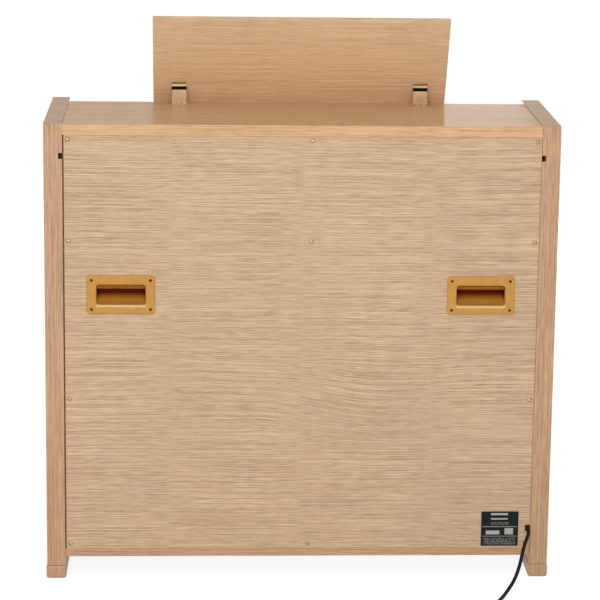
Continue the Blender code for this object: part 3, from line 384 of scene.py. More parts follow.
@dataclass(frozen=True)
class Plastic(Finish):
    """Moulded plastic with a faint mottle, fine texture and handling wear in its gloss."""

    light: Colour = shade(30, 30, 31)
    dark: Colour = shade(20, 20, 21)
    roughness: float = 0.35
    texture: float = 0.00004
    coat: float = 0.0
    shine: float = 0.5

    def tint(self, shader: Shader, place: tuple[Value, Value, Value]) -> bpy.types.NodeSocket:
        """Colour over the surface.

        Args:
            shader: the nodes that it goes into.
            place: coordinates of the surface.

        Returns:
            The colour's socket.
        """
        mottle = shader.noise(*(part * 60.0 for part in place), 3.0, 0.6)
        return shader.mix(mottle.rise(0.3, 0.7), self.light, self.dark)

    def paint(self, shader: Shader) -> None:
        """Add the plastic's nodes."""
        x, y, z = place = shader.place()
        fine = shader.noise(x * 1900.0, y * 1900.0, z * 1900.0, 1.0, 0.5)
        smear = shader.noise(x * 22.0, y * 22.0, z * 22.0, 2.0, 0.6)
        shader.surface({
            "Base Color": self.tint(shader, place),
            "Roughness": self.roughness + (smear - 0.5) * 0.14,
            "Specular IOR Level": self.shine,
            "Coat Weight": self.coat,
            "Normal": shader.bump(fine, self.texture, 0.6),
        })


@dataclass(frozen=True)
class Cup(Plastic):
    """Ochre plastic of the handles, with painted shade that darkens it into the hollow and most at the
    hollow's top under the roll, and a painted highlight along its lower lip.

    The lip and the bottom are places through the case, and the middle is the handle's height. The painted
    highlight ends in ramps: at the lip's two ends, below it and above it.
    """

    lip: float = 0.3158
    bottom: float = 0.2950
    middle: float = 0.6793
    aside: float = 0.412
    # Heights, from the middle, over which the painted shadow under the roll comes in.
    upper: tuple[float, float] = (-0.020, -0.001)
    # The next five set the painted highlight along the lower lip: how far it reaches out of the lip, its
    # ramps at the lip's ends, below and above it, and its colour.
    highlight_proud: float = 0.0012
    highlight_ends: tuple[float, float] = (0.0595, 0.0530)
    highlight_below: tuple[float, float] = (-0.0300, -0.0262)
    highlight_above: tuple[float, float] = (-0.0215, -0.0245)
    pale: Colour = shade(238, 200, 140)
    # Painted shade: the colour that the hollow darkens to towards its bottom, and the near-black shadow at
    # its top under the roll.
    deep: Colour = shade(206, 136, 46)
    roll_shadow: Colour = shade(92, 26, 0)

    def tint(self, shader: Shader, place: tuple[Value, Value, Value]) -> bpy.types.NodeSocket:
        """Colour over the surface.

        Args:
            shader: the nodes that it goes into.
            place: coordinates of the surface.

        Returns:
            The colour's socket.
        """
        x, y, z = place
        height = z - self.middle
        # Painted shade: depth climbs from the lip to the hollow's bottom.
        depth = y.rise(self.lip, self.bottom)
        aside = abs(abs(x) - self.aside)
        # Painted highlight along the lower lip, where its round edge would catch the light.
        lip_highlight = y.rise(self.lip, self.lip + self.highlight_proud) * aside.rise(*self.highlight_ends)
        lip_highlight = lip_highlight * height.rise(*self.highlight_above) * height.rise(*self.highlight_below)
        plain = shader.mix(lip_highlight * 0.8, super().tint(shader, place), self.pale)
        # Painted shade, deepening towards the hollow's bottom.
        plain = shader.mix(depth * 0.8, plain, self.deep)
        # Painted shadow, near black at the hollow's top under the roll.
        return shader.mix(depth * height.rise(*self.upper), plain, self.roll_shadow)


@dataclass(frozen=True)
class Metal(Finish):
    """Sheet or turned metal with fine scratches and dull patches."""

    light: Colour = shade(205, 205, 208)
    dark: Colour = shade(150, 150, 153)
    roughness: float = 0.32
    metallic: float = 1.0

    def paint(self, shader: Shader) -> None:
        """Add the metal's nodes."""
        x, y, z = shader.place()
        scratch = shader.noise(x * 60.0, y * 900.0, z * 900.0, 2.0, 0.6)
        dull = shader.noise(x * 45.0, y * 45.0, z * 45.0, 3.0, 0.6).rise(0.35, 0.75)
        shader.surface({
            "Base Color": shader.mix(dull * 0.6 + scratch * 0.3, self.light, self.dark),
            "Metallic": self.metallic,
            "Roughness": self.roughness + dull * 0.16 + scratch * 0.08 - 0.06,
            "Normal": shader.bump(scratch, 0.00003, 0.5),
        })


@dataclass(frozen=True)
class Woven(Finish):
    """Loudspeaker cloth of crossing threads."""

    light: Colour = shade(92, 74, 58)
    dark: Colour = shade(38, 30, 24)
    pitch: float = 0.0011

    def paint(self, shader: Shader) -> None:
        """Add the weave's nodes."""
        x, y, z = shader.place()
        turn = math.tau / self.pitch
        weave = (x * turn).sine() * (z * turn).sine() * 0.5 + 0.5
        thread = shader.noise(x * 700.0, y * 700.0, z * 700.0, 2.0, 0.6)
        shader.surface({
            "Base Color": shader.mix(weave * 0.7 + thread * 0.4 - 0.1, self.dark, self.light),
            "Roughness": 0.85 + (thread - 0.5) * 0.1,
            "Normal": shader.bump(weave, 0.0003, 0.6),
        })


@dataclass(frozen=True)
class LabelPlate(Finish):
    """Black plate with a pale border, rules and blank fields, and rows of specks that say nothing.

    Bars, fields and blocks are rectangles: left, bottom, right and top, in metres from the plate's lower left
    corner. A right side of zero or less is counted from the plate's right edge.
    """

    black: Colour = shade(7, 7, 8)
    pale: Colour = shade(190, 188, 182)
    border: float = 0.0010
    fields: tuple[tuple[float, float, float, float], ...] = (
        (0.004, 0.0475, -0.004, 0.0487), (0.004, 0.0243, -0.004, 0.0253), (0.013, 0.0290, 0.033, 0.0445),
        (0.045, 0.0290, 0.077, 0.0385), (0.026, 0.0762, 0.066, 0.0812), (0.026, 0.0655, 0.066, 0.0690))
    blocks: tuple[tuple[float, float, float, float], ...] = (
        (0.008, 0.004, -0.008, 0.0215), (0.024, 0.0520, -0.024, 0.0600))
    row_rate: float = 440.0
    speck_rate: float = 520.0

    def paint(self, shader: Shader) -> None:
        """Add the plate's nodes."""
        x, y, z = shader.place()
        low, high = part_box("rating_plate")
        across, up = x - low.x, z - low.z
        width, height = high.x - low.x, high.z - low.z

        def field_at(left: float, bottom: float, right: float, top: float) -> Value:
            """Mask of one rectangle."""
            end = right if right > 0 else width + right
            return (across > left) * (across < end) * (up > bottom) * (up < top)

        marks = 1.0 - field_at(self.border, self.border, width - self.border, height - self.border)
        for corners in self.fields:
            marks = marks + field_at(*corners)
        block = field_at(*self.blocks[0]) + field_at(*self.blocks[1])
        row = up * self.row_rate
        specks = shader.noise(across * self.speck_rate, row.floor() * 3.7, 1.0, 1.0, 0.5) > 0.47
        fine = shader.noise(x * 900.0, y * 900.0, z * 900.0, 2.0, 0.6)
        tone = marks.rise(0.0, 1.0) * 0.78 + block * (row.fract() > 0.45) * specks * 0.42 + fine * 0.03
        shader.surface({
            "Base Color": shader.mix(tone, self.black, self.pale),
            "Roughness": 0.5 + fine * 0.12,
            "Specular IOR Level": 0.12,
            "Normal": shader.bump(fine, 0.00002, 0.4),
        })


@dataclass(frozen=True)
class Board(Finish):
    """Circuit board with tracks under green mask."""

    mask: Colour = shade(24, 92, 56)
    track: Colour = shade(52, 128, 80)
    lane_rate: float = 400.0

    def paint(self, shader: Shader) -> None:
        """Add the board's nodes."""
        x, y = shader.place()[:2]
        lane = y * self.lane_rate
        across = lane.fract()
        run = (across > 0.35) * (across < 0.75) * (shader.noise(x * 60.0, lane.floor(), 2.0, 0.0, 0.5) > 0.47)
        shader.surface({
            "Base Color": shader.mix(run, self.mask, self.track),
            "Roughness": 0.35 - run * 0.08,
            "Normal": shader.bump(run, 0.00006, 0.6),
        })


CASE_OAK = Oak("oak", Grain.ALONG, seed=1.0)
UPRIGHT_OAK = Oak("oak", Grain.UPRIGHT, seed=2.0, arch=0.012)
TOP_OAK = Oak("oak", Grain.ALONG, light=shade(226, 185, 142), dark=shade(194, 153, 111), roughness=0.34,
              seed=3.0, arch=0.014, shine=0.05)
# Paler than the case's oak: painted light that makes up for the shade on the desk's back, which leans to face
# down.
DESK_OAK = Oak("oak", Grain.ALONG, light=shade(235, 202, 164), dark=shade(203, 168, 130), seed=7.0,
               shine=0.3)
SLIP_OAK = Oak("oak", Grain.ALONG, seed=8.0)
CHEEK_OAK = Oak("oak", Grain.THROUGH, seed=4.0)
BACK_OAK = Oak("oak_back", Grain.ALONG, light=shade(217, 185, 152), dark=shade(176, 143, 110), roughness=0.55,
               seed=6.0, shine=0.3, fan=0.034)
INSIDE_OAK = Oak("oak_inside", Grain.ALONG, light=shade(205, 176, 143), dark=shade(176, 146, 113),
                 roughness=0.6, seed=5.0)
OCHRE = Cup("ochre_plastic", light=shade(200, 150, 84), dark=shade(192, 142, 76), roughness=0.5, shine=0.02)
BRASS = Metal("brass", light=shade(190, 162, 124), dark=shade(160, 128, 88), roughness=0.28, metallic=0.6)
# Darker copy of the handles' ochre plastic for the grip roll: painted shade on its downward-facing underside.
SHADED_GRIP = Plastic("ochre_plastic", light=shade(158, 96, 38), dark=shade(142, 84, 30), roughness=0.5, shine=0.02)
GILT = Metal("brass", light=shade(236, 206, 132), dark=shade(186, 150, 78), roughness=0.3, metallic=0.85)
BRONZE = Plastic("brass", light=shade(170, 92, 30), dark=shade(88, 44, 10), roughness=0.5, shine=0.08)
COPPER = Metal("black_plastic", light=shade(176, 104, 62), dark=shade(120, 62, 34), roughness=0.42)
# Near-black strip on each desk bracket: painted shadow of the dark gap between bracket and hook.
SHADOW_STRIP = Plastic("rubber", light=shade(12, 11, 11), dark=shade(7, 6, 6), roughness=0.8, texture=0.0001,
                 shine=0.1)
# Near-black brown for screw cross recesses and the thin rings round screw heads: painted shade.
RECESS_SHADE = Plastic("brass", light=shade(46, 26, 6), dark=shade(28, 14, 2), roughness=0.7, shine=0.04)
STEEL = Metal("steel")
BLACK = Plastic("black_plastic")
IVORY = Plastic("ivory_plastic", light=shade(240, 236, 224), dark=shade(234, 228, 212), roughness=0.2,
                texture=0.00001, coat=0.3)
EBONY = Plastic("ebony_plastic", light=shade(30, 28, 27), dark=shade(20, 19, 18), roughness=0.24,
                texture=0.00001, coat=0.3)
RUBBER = Plastic("rubber", light=shade(42, 42, 43), dark=shade(28, 28, 29), roughness=0.7, texture=0.0002)
SHEATH = Plastic("cord_sheath", light=shade(6, 6, 6), dark=shade(3, 3, 3), roughness=0.6, texture=0.00005,
                 shine=0.2)
CLOTH = Woven("speaker_cloth")
PLATE = LabelPlate("label_plate")
GREEN = Board("circuit_board")
PAPER = Plastic("black_plastic", light=shade(58, 54, 50), dark=shade(40, 37, 34), roughness=0.85,
                texture=0.0003)
MARK = Plastic("ivory_plastic", light=shade(236, 234, 228), dark=shade(226, 223, 214), roughness=0.35)


# Shapes

Ring = list[Vector]
Profile = Sequence[tuple[float, float]]


def add_object(name: str, data: bpy.types.ID) -> bpy.types.Object:
    """Put a mesh, curve, lamp or camera into the scene.

    Args:
        name: the object's name.
        data: what it shows.

    Returns:
        The object.
    """
    made = bpy.data.objects.new(name, data)
    bpy.context.scene.collection.objects.link(made)
    return made


def circle(radius: float, height: float, steps: int) -> Ring:
    """Points of a level circle.

    Args:
        radius: its radius.
        height: its height.
        steps: how many points.

    Returns:
        The points.
    """
    turns = [math.tau * k / steps for k in range(steps)]
    return [Vector((radius * math.cos(a), radius * math.sin(a), height)) for a in turns]


def round_inset(radius: float, depth: float) -> float:
    """How far a round edge draws in at a depth below its top.

    Args:
        radius: radius of the edge.
        depth: distance below the top.

    Returns:
        The distance that it draws in.
    """
    left = max(radius - depth, 0.0)
    return radius - math.sqrt(max(radius * radius - left * left, 0.0))


def rounded_rectangle(width: float, depth: float, radius: float, height: float = 0.0,
                      steps: int = 4) -> Ring:
    """Points of a level rectangle with round corners.

    Args:
        width: size along the first axis.
        depth: size along the second axis.
        radius: radius of the corners.
        height: its height.
        steps: pieces of each corner.

    Returns:
        The points, round from the first corner.
    """
    points = []
    for corner, (sx, sy) in enumerate(((1, 1), (-1, 1), (-1, -1), (1, -1))):
        middle = Vector((sx * (width / 2 - radius), sy * (depth / 2 - radius), height))
        for k in range(steps + 1):
            a = math.pi / 2 * (corner + k / steps)
            points.append(middle + Vector((math.cos(a), math.sin(a), 0)) * radius)
    return points


def smooth_route(points: Sequence[Vector], spacing: float) -> list[Vector]:
    """Read points off a smooth curve through the given ones.

    Args:
        points: places that the curve passes through.
        spacing: distance between the points that are read.

    Returns:
        The points of the curve, ends included.
    """
    spots = [points[0] * 2 - points[1], *points, points[-1] * 2 - points[-2]]
    made = []
    for a, b, c, d in zip(spots, spots[1:], spots[2:], spots[3:]):
        pieces = max(1, round((c - b).length / spacing))
        for k in range(pieces):
            t = k / pieces
            made.append(0.5 * ((2 * b) + (c - a) * t + (2 * a - 5 * b + 4 * c - d) * t ** 2
                               + (3 * b - a - 3 * c + d) * t ** 3))
    made.append(points[-1])
    return made


class Shape:
    """Mesh in the making, skinned from rings of points."""

    def __init__(self, name: str) -> None:
        """Start an empty mesh."""
        self.name = name
        self.mesh = bmesh.new()
        self.finishes: list[Finish] = []

    def skin(self, rings: Sequence[Ring], finish: Finish, place: Matrix | None = None,
             closed: bool = False) -> None:
        """Skin a run of rings that have equally many points.

        Args:
            rings: the rings in order.
            finish: how the skin looks.
            place: moves the points into the case's frame.
            closed: joins the last ring to the first, in place of an end face on each.
        """
        if finish not in self.finishes:
            self.finishes.append(finish)
        index = self.finishes.index(finish)
        place = place or Matrix.Identity(4)
        loops = [[self.mesh.verts.new(place @ point) for point in ring] for ring in rings]
        pairs = list(zip(loops, loops[1:])) + ([(loops[-1], loops[0])] if closed else [])
        faces = [self.mesh.faces.new((a[i - 1], a[i], b[i], b[i - 1]))
                 for a, b in pairs for i in range(len(a))]
        if not closed:
            faces += [self.mesh.faces.new(loops[0]), self.mesh.faces.new(loops[-1])]
        for face in faces:
            face.material_index = index
            face.smooth = True

    def lathe(self, profile: Profile, finish: Finish, place: Matrix, steps: int) -> None:
        """Turn a profile about its axis.

        Args:
            profile: radius and height of each ring.
            finish: how it looks.
            place: moves it into the case's frame.
            steps: points in each ring.
        """
        self.skin([circle(radius, height, steps) for radius, height in profile], finish, place)

    def block(self, low: Sequence[float], high: Sequence[float], edge: float, finish: Finish,
              place: Matrix | None = None) -> None:
        """Add a block with round edges.

        Args:
            low: its lowest corner.
            high: its highest corner.
            edge: radius of its edges.
            finish: how it looks.
            place: moves it into the case's frame.
        """
        low, high = Vector(low), Vector(high)
        size = high - low
        middle = (low + high) / 2
        rings = []
        for end, heights in ((low.z, (0, 1, 2)), (high.z, (2, 1, 0))):
            for k in heights:
                a = math.pi / 4 * k
                inset = edge * (1 - math.sin(a))
                rise = edge * (1 - math.cos(a)) * (1 if end == low.z else -1)
                corner = max(edge - inset, edge * 0.1)
                ring = rounded_rectangle(size.x - 2 * inset, size.y - 2 * inset, corner, end + rise, 2)
                rings.append([point + Vector((middle.x, middle.y, 0)) for point in ring])
        self.skin(rings, finish, place)

    def sweep(self, path: Sequence[Vector], section: Ring, finish: Finish, closed: bool = False) -> None:
        """Carry a section along a level or upright path without twisting it.

        Args:
            path: points that the section passes.
            section: points of the section, first axis across the path and second axis up.
            finish: how it looks.
            closed: joins the path's end to its start.
        """
        rings = []
        for i, point in enumerate(path):
            before = path[i - 1] if i or closed else point
            after = path[(i + 1) % len(path)] if i + 1 < len(path) or closed else point
            ahead = (after - before).normalized()
            guide = Vector((0, 1, 0)) if abs(ahead.y) < 0.5 else Vector((0, 0, 1))
            up = ahead.cross(guide).normalized()
            side = up.cross(ahead)
            rings.append([point + side * spot.x + up * spot.y for spot in section])
        self.skin(rings, finish, closed=closed)

    def build(self, body: str, *nodes: str, angle: float = 35.0) -> bpy.types.Object:
        """Make the object, which rides on a body and may stand for nodes.

        Args:
            body: the body that it moves with.
            nodes: the nodes that it stands for.
            angle: edges sharper than this many degrees stay sharp.

        Returns:
            The object.
        """
        bmesh.ops.recalc_face_normals(self.mesh, faces=self.mesh.faces)
        for edge in self.mesh.edges:
            if len(edge.link_faces) == 2 and edge.calc_face_angle(0.0) > math.radians(angle):
                edge.smooth = False
        data = bpy.data.meshes.new(self.name)
        self.mesh.to_mesh(data)
        self.mesh.free()
        for finish in self.finishes:
            data.materials.append(finish.material())
        made = add_object(self.name, data)
        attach(made, body)
        if nodes:
            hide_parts(*nodes)
        log.info("%s: %d faces on %s", self.name, len(data.polygons), body)
        return made


SOFT_ABOVE = 40.0


def dress(finish: Finish, edge: float, *nodes: str) -> None:
    """Give nodes of the frame their finish, and soften edges of more than SOFT_ABOVE degrees.

    Args:
        finish: how they look.
        edge: width of the soft edges, or zero.
        nodes: their names.
    """
    for name in nodes:
        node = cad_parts[name]
        for slot in node.material_slots:
            slot.material = finish.material()
        if edge:
            soft = node.modifiers.new("soft edges", "BEVEL")
            soft.width = edge
            soft.segments = 3
            soft.limit_method = "ANGLE"
            soft.angle_limit = math.radians(SOFT_ABOVE)
        log.info("%s: %s", name, finish.slot)


def facing_back(x: float, y: float, z: float) -> Matrix:
    """Place whose own height points to the case's back.

    Args:
        x: along the case.
        y: through it.
        z: up.

    Returns:
        The place.
    """
    return Matrix.Translation((x, y, z)) @ Matrix.Rotation(-math.pi / 2, 4, "X")


def add_screw(shape: Shape, place: Matrix, radius: float, rise: float, finish: Finish) -> None:
    """Add a domed screw head with a cross recess. The dome's rings are shares of its radius and rise.

    Args:
        shape: the mesh that it goes into.
        place: middle of the seat, with height along the screw's axis.
        radius: radius of the head.
        rise: height of the dome.
        finish: how it looks.
    """
    reach, half = radius * 0.56, radius * 0.15
    corners = [Matrix.Rotation(math.pi / 2 * quarter, 2) @ Vector(corner) for quarter in range(4)
               for corner in ((reach, -half), (reach, half), (half, half))]
    cross = [spot for a, b in zip(corners, corners[1:] + corners[:1]) for spot in (a, (a + b) / 2)]
    turn = Matrix.Rotation(math.radians(-15), 3, "Z")
    dome = ((0.90, -0.6), (1.0, -0.2), (1.0, 0.10), (0.93, 0.42), (0.80, 0.70), (0.66, 0.86))
    rings = [[turn @ spot for spot in circle(share * radius, height * rise, 2 * len(corners))]
             for share, height in dome]
    rings.append([Vector((*spot, 0.92 * rise)) for spot in cross])
    shape.skin(rings, finish, place)
    # The cross recess is painted near black, as shade.
    recess = [[Vector((*(spot * 0.97), height * rise)) for spot in cross] for height in (0.5, 0.935)]
    shape.skin(recess, RECESS_SHADE, place)


# Pieces


@dataclass(frozen=True)
class Lamp:
    """Soft square lamp, with its power in watts, its side and its place."""

    name: str
    power: float
    size: float
    spot: tuple[float, float, float]


@dataclass
class Studio:
    """Camera, floor and lights. The camera's turns are in radians, and its lens is in millimetres."""

    camera_place: Vector = field(default_factory=lambda: Vector((0.23513, 5.87396, 1.96396)))
    yaw: float = -0.05579
    pitch: float = 0.21228
    roll: float = -0.01530
    lens: float = 149.678
    sensor: float = 36.0
    shift: tuple[float, float] = (-0.05833, -0.06833)
    world: float = 0.515
    lamps: tuple[Lamp, ...] = (
        Lamp("key", 43.5, 2.5, (0.4, 3.4, 3.3)), Lamp("low", 78.0, 3.0, (0.3, 4.2, 0.4)),
        Lamp("front", 74.0, 1.4, (-0.4, -4.2, 0.6)))
    lamp_aim: Vector = field(default_factory=lambda: Vector((0, 0, 0.6)))
    floor_reach: float = 30.0
    floor_white: float = 1.22
    floor_share: float = 0.72

    def build_camera(self) -> None:
        """Make the camera, which looks at the organ's back."""
        data = bpy.data.cameras.new("camera")
        data.lens = self.lens
        data.sensor_width = self.sensor
        data.shift_x, data.shift_y = self.shift
        data.clip_start = 0.1
        data.clip_end = 100.0
        camera = add_object("camera", data)
        level = Vector((math.sin(self.yaw), -math.cos(self.yaw), 0.0))
        forward = level * math.cos(self.pitch) - Vector((0, 0, math.sin(self.pitch)))
        up = level * math.sin(self.pitch) + Vector((0, 0, math.cos(self.pitch)))
        right = Vector((-math.cos(self.yaw), -math.sin(self.yaw), 0.0))
        x_axis = right * math.cos(self.roll) - up * math.sin(self.roll)
        y_axis = right * math.sin(self.roll) + up * math.cos(self.roll)
        turn = Matrix((x_axis, y_axis, -forward)).transposed().to_4x4()
        camera.matrix_world = Matrix.Translation(self.camera_place) @ turn
        bpy.context.scene.camera = camera

    def white_when_seen(self, shader: Shader, strength: float, lit: bpy.types.NodeSocket,
                        share: float) -> bpy.types.NodeSocket:
        """Blend in plain white for rays that come from the camera, a mirror or glass.

        Args:
            shader: the nodes that it goes into.
            strength: strength of the white.
            lit: the shader for all other rays.
            share: how much of the white such rays see.

        Returns:
            The blend's socket.
        """
        path = shader.node("ShaderNodeLightPath")
        camera, mirror, glass = [Value(shader, path.outputs[f"Is {kind} Ray"])
                                 for kind in ("Camera", "Glossy", "Transmission")]
        seen = (camera + mirror + glass) * share
        kind = "ShaderNodeBackground" if isinstance(shader, WorldShader) else "ShaderNodeEmission"
        white = shader.node(kind, inputs={0: (1, 1, 1, 1), 1: strength})
        return shader.node("ShaderNodeMixShader", inputs={0: seen, 1: lit, 2: white.outputs[0]}).outputs[0]

    def build_floor(self) -> None:
        """Make the pale floor, which keeps the organ's shadow."""
        data = bpy.data.meshes.new("floor")
        grid = bmesh.new()
        bmesh.ops.create_grid(grid, x_segments=8, y_segments=8, size=self.floor_reach)
        grid.to_mesh(data)
        grid.free()
        floor = add_object("floor", data)
        shader = Shader("floor")
        x, y, z = shader.place()
        tone = shader.noise(x * 2.0, y * 2.0, z, 2.0, 0.5)
        pale = shader.mix(tone, (0.86, 0.86, 0.86, 1), (0.88, 0.88, 0.88, 1))
        lit = shader.node("ShaderNodeBsdfDiffuse", inputs={"Color": pale}).outputs[0]
        blend = self.white_when_seen(shader, self.floor_white, lit, self.floor_share)
        shader.node("ShaderNodeOutputMaterial", inputs={0: blend})
        data.materials.append(shader.material)

    def build_lights(self) -> None:
        """Make the world and the soft lamps."""
        world = WorldShader("studio")
        plain = world.node("ShaderNodeBackground", inputs={0: (1, 1, 1, 1), 1: self.world})
        blend = self.white_when_seen(world, 1.0, plain.outputs[0], 1.0)
        world.node("ShaderNodeOutputWorld", inputs={0: blend})
        for lamp in self.lamps:
            data = bpy.data.lights.new(lamp.name, "AREA")
            data.energy = lamp.power
            data.size = lamp.size
            aim = self.lamp_aim - Vector(lamp.spot)
            turn = aim.to_track_quat("-Z", "Y").to_matrix().to_4x4()
            add_object(lamp.name, data).matrix_world = Matrix.Translation(lamp.spot) @ turn

    def build(self) -> None:
        """Make the floor and the lights. The camera is made first of all, on its own."""
        self.build_floor()
        self.build_lights()


@dataclass
class MainsCord:
    """Mains lead from the notch in the back, over the floor and into its coil, strap and plug."""

    radius: float = 0.00425
    exit_spot: Vector = field(default_factory=lambda: Vector((-0.5365, BACK_FACE, 0.1205)))
    coil_middle: Vector = field(default_factory=lambda: Vector((-0.360, 0.600)))
    coil_outer: float = 0.0574
    coil_turns: float = 2.25
    coil_pitch: float = 0.0092
    coil_low: float = 0.00565
    coil_steps: int = 72
    plug_axis: float = 0.0182
    pin_spread: float = 0.0095
    spacing: float = 0.004

    @property
    def entry(self) -> Vector:
        """Where the coil begins."""
        x, y = self.coil_middle
        return Vector((x - 2 * self.radius, y - self.coil_outer, self.coil_low))

    def free_route(self) -> list[Vector]:
        """Route of the stretch between the sleeve and the coil.

        Returns:
            Points in metres.
        """
        steps = [(0.0, 0.0203, 0.0), (0.0, 0.0265, 0.0), (0.0019, 0.0393, -0.0017), (0.0071, 0.0525, -0.0087),
                 (0.0143, 0.0643, -0.0230), (0.0215, 0.0765, -0.0470), (0.0277, 0.0865, -0.0660),
                 (0.0360, 0.0970, -0.0853), (0.0460, 0.1080, -0.1000), (0.0585, 0.1255, -0.1107),
                 (0.0745, 0.1585, -0.1153), (0.0885, 0.1855, -0.1157), (0.1085, 0.2090, -0.1155),
                 (0.1335, 0.2235, -0.1151)]
        points = [self.exit_spot + Vector(step) for step in steps]
        points += [self.entry - Vector((0.012, 0, 0)), self.entry - Vector((GAP, 0, 0))]
        return smooth_route(points, self.spacing)

    def coil_route(self) -> list[Vector]:
        """Centre line of the coil, which spirals in, climbs a layer and spirals out to the plug.

        Returns:
            Points in metres.
        """
        turns = 2 * self.coil_turns
        count = round(turns * self.coil_steps)
        points = [self.entry]
        for k in range(count + 1):
            done = turns * k / count
            reach = self.coil_outer - self.coil_pitch * min(done, turns - done)
            climb = min(max((done - self.coil_turns + 0.25) / 0.5, 0.0), 1.0)
            lift = self.coil_pitch * climb * climb * (3 - 2 * climb)
            angle = math.radians(-90) + math.tau * done
            points.append(Vector((self.coil_middle.x + reach * math.cos(angle),
                                  self.coil_middle.y + reach * math.sin(angle), self.coil_low + lift)))
        last = points[-1]
        ends = [last] + [Vector((last.x - along, last.y, height)) for along, height in (
            (0.009, last.z), (0.019, last.z + 0.0014), (0.028, self.plug_axis), (0.0375, self.plug_axis))]
        return points + smooth_route(ends, self.spacing)[1:]

    def build_sleeve(self) -> bpy.types.Object:
        """Make the ribbed strain relief and its block in the notch.

        Returns:
            The sleeve.
        """
        sleeve = Shape("lead_sleeve")
        low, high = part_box("cord_grommet")
        sleeve.block(low, (high.x, BACK_FACE - 0.001, high.z), 0.0012, SHEATH)
        profile = [(0.0058, -0.003), (0.0058, 0.0012), (0.0054, 0.0020)]
        for k in range(5):
            base, wide = 0.0024 + k * 0.0034, 0.00555 - k * 0.00022
            profile += [(wide - 0.0007, base), (wide - 0.0007, base + 0.0008), (wide, base + 0.0013),
                        (wide, base + 0.0026), (wide - 0.0007, base + 0.0030)]
        profile += [(0.0046, 0.0200), (0.0030, 0.0200)]
        sleeve.lathe(profile, SHEATH, facing_back(*self.exit_spot), 24)
        return sleeve.build("console", "cord_grommet")

    def build_strap(self) -> bpy.types.Object:
        """Make the strap round the coil.

        Returns:
            The strap.
        """
        low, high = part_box("cord_tie")
        wall = 0.0010
        strap = Shape("lead_strap")
        path = rounded_rectangle(high.x - low.x - wall, high.z - low.z - wall, 0.0026, 0.0, 6)
        middle = (low + high) / 2
        loop = [Vector((middle.x + p.x, middle.y, middle.z + p.y)) for p in path]
        section = rounded_rectangle(high.y - low.y, wall, 0.0004, 0.0, 2)
        strap.sweep(loop, section, RUBBER, closed=True)
        return strap.build("console", "cord_tie")

    def build_plug(self, tail: Vector) -> bpy.types.Object:
        """Make the two-pin plug.

        Args:
            tail: where the lead goes into it.

        Returns:
            The plug.
        """
        place = Matrix.Translation(tail - Vector((GAP, 0, 0))) @ Matrix.Rotation(-math.pi / 2, 4, "Y")
        plug = Shape("lead_plug")
        profile = [(0.0044, 0.0), (0.0060, 0.0)]
        for k in range(6):
            base, wide = 0.0008 + k * 0.0047, 0.0062 + k * 0.00045
            profile += [(wide - 0.0008, base), (wide, base + 0.0010), (wide, base + 0.0030),
                        (wide - 0.0008, base + 0.0038)]
        profile += [(0.0086, 0.0300), (0.0112, 0.0312), (0.0140, 0.0325), (0.0158, 0.0350), (0.0172, 0.0385),
                    (0.0178, 0.0420), (0.0180, 0.0480), (0.0172, 0.0490), (0.0172, 0.0505), (0.0180, 0.0515),
                    (0.0180, 0.0645), (0.0176, 0.0662), (0.0166, 0.0676), (0.0150, 0.0680)]
        plug.lathe(profile, SHEATH, place, 40)
        for side in (-self.pin_spread, self.pin_spread):
            pin = place @ Matrix.Translation((0, side, 0))
            plug.lathe([(0.0020, 0.0660), (0.0024, 0.0665), (0.0024, 0.0850), (0.0020, 0.0864),
                        (0.0008, 0.0870)], STEEL, pin, 16)
            plug.lathe([(0.0030, 0.0672), (0.0040, 0.0680), (0.0036, 0.0686), (0.0028, 0.0686)], SHEATH,
                       pin, 16)
        return plug.build("console", "mains_plug")

    def build(self) -> None:
        route = self.free_route() + self.coil_route()
        curve = bpy.data.curves.new("lead", "CURVE")
        curve.dimensions = "3D"
        curve.bevel_depth = self.radius
        curve.bevel_resolution = 4
        curve.use_fill_caps = True
        spline = curve.splines.new("POLY")
        spline.points.add(len(route) - 1)
        for point, place in zip(spline.points, route):
            point.co = (*place, 1.0)
        spline.use_smooth = True
        curve.materials.append(SHEATH.material())
        lead = add_object("lead", curve)
        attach(lead, "console")
        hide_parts("mains_cord", "cord_coil")
        pieces = [self.build_sleeve(), self.build_strap(), self.build_plug(route[-1])]
        length = sum((b - a).length for a, b in zip(route, route[1:]))
        log.info("lead: %.3f m", length)


@dataclass
class Case:
    """Oak boards, the screws in the back and the label plate."""

    screw_radius: float = 0.0042
    screw_rise: float = 0.0019
    seat: Profile = ((0.0044, -0.0005), (0.0049, 0.0001), (0.0044, 0.0003), (0.0038, 0.0002))
    screw_heights: tuple[float, ...] = (1.0368, 0.8038, 0.432, 0.0844)
    side_columns: tuple[float, ...] = (-0.5325, 0.5308)
    middle_column: float = -0.021
    middle_heights: tuple[float, ...] = (1.0368, 0.8038, 0.0844)

    def build_boards(self) -> None:
        """Give every board its oak."""
        dress(UPRIGHT_OAK, 0.0005, "side_panel_left", "side_panel_right", "foot_left", "foot_right")
        dress(TOP_OAK, 0.0012, "top_panel")
        dress(CASE_OAK, 0.0008, "bottom_board", "knee_board", "fascia_board", "lid_panel", "lid_rail")
        dress(BACK_OAK, 0.0005, "back_panel")
        dress(INSIDE_OAK, 0.0005, "back_frame", "key_bed")
        dress(PLATE, 0.0, "rating_plate")

    def build_screws(self) -> None:
        """Make the brass screws of the back panel."""
        shape = Shape("back_screws")
        spots = [(x, z) for x in self.side_columns for z in self.screw_heights]
        spots += [(self.middle_column, z) for z in self.middle_heights]
        for x, z in spots:
            spot = facing_back(x, BACK_FACE, z)
            turned = spot @ Matrix.Rotation(x * 7 + z * 5, 4, "Z")
            # A thin near-black ring round each head: painted shade.
            shape.lathe(self.seat, RECESS_SHADE, spot, 24)
            add_screw(shape, turned, self.screw_radius, self.screw_rise, GILT)
        shape.build("console")

    def build(self) -> None:
        """Dress the boards and make the screws."""
        self.build_boards()
        self.build_screws()


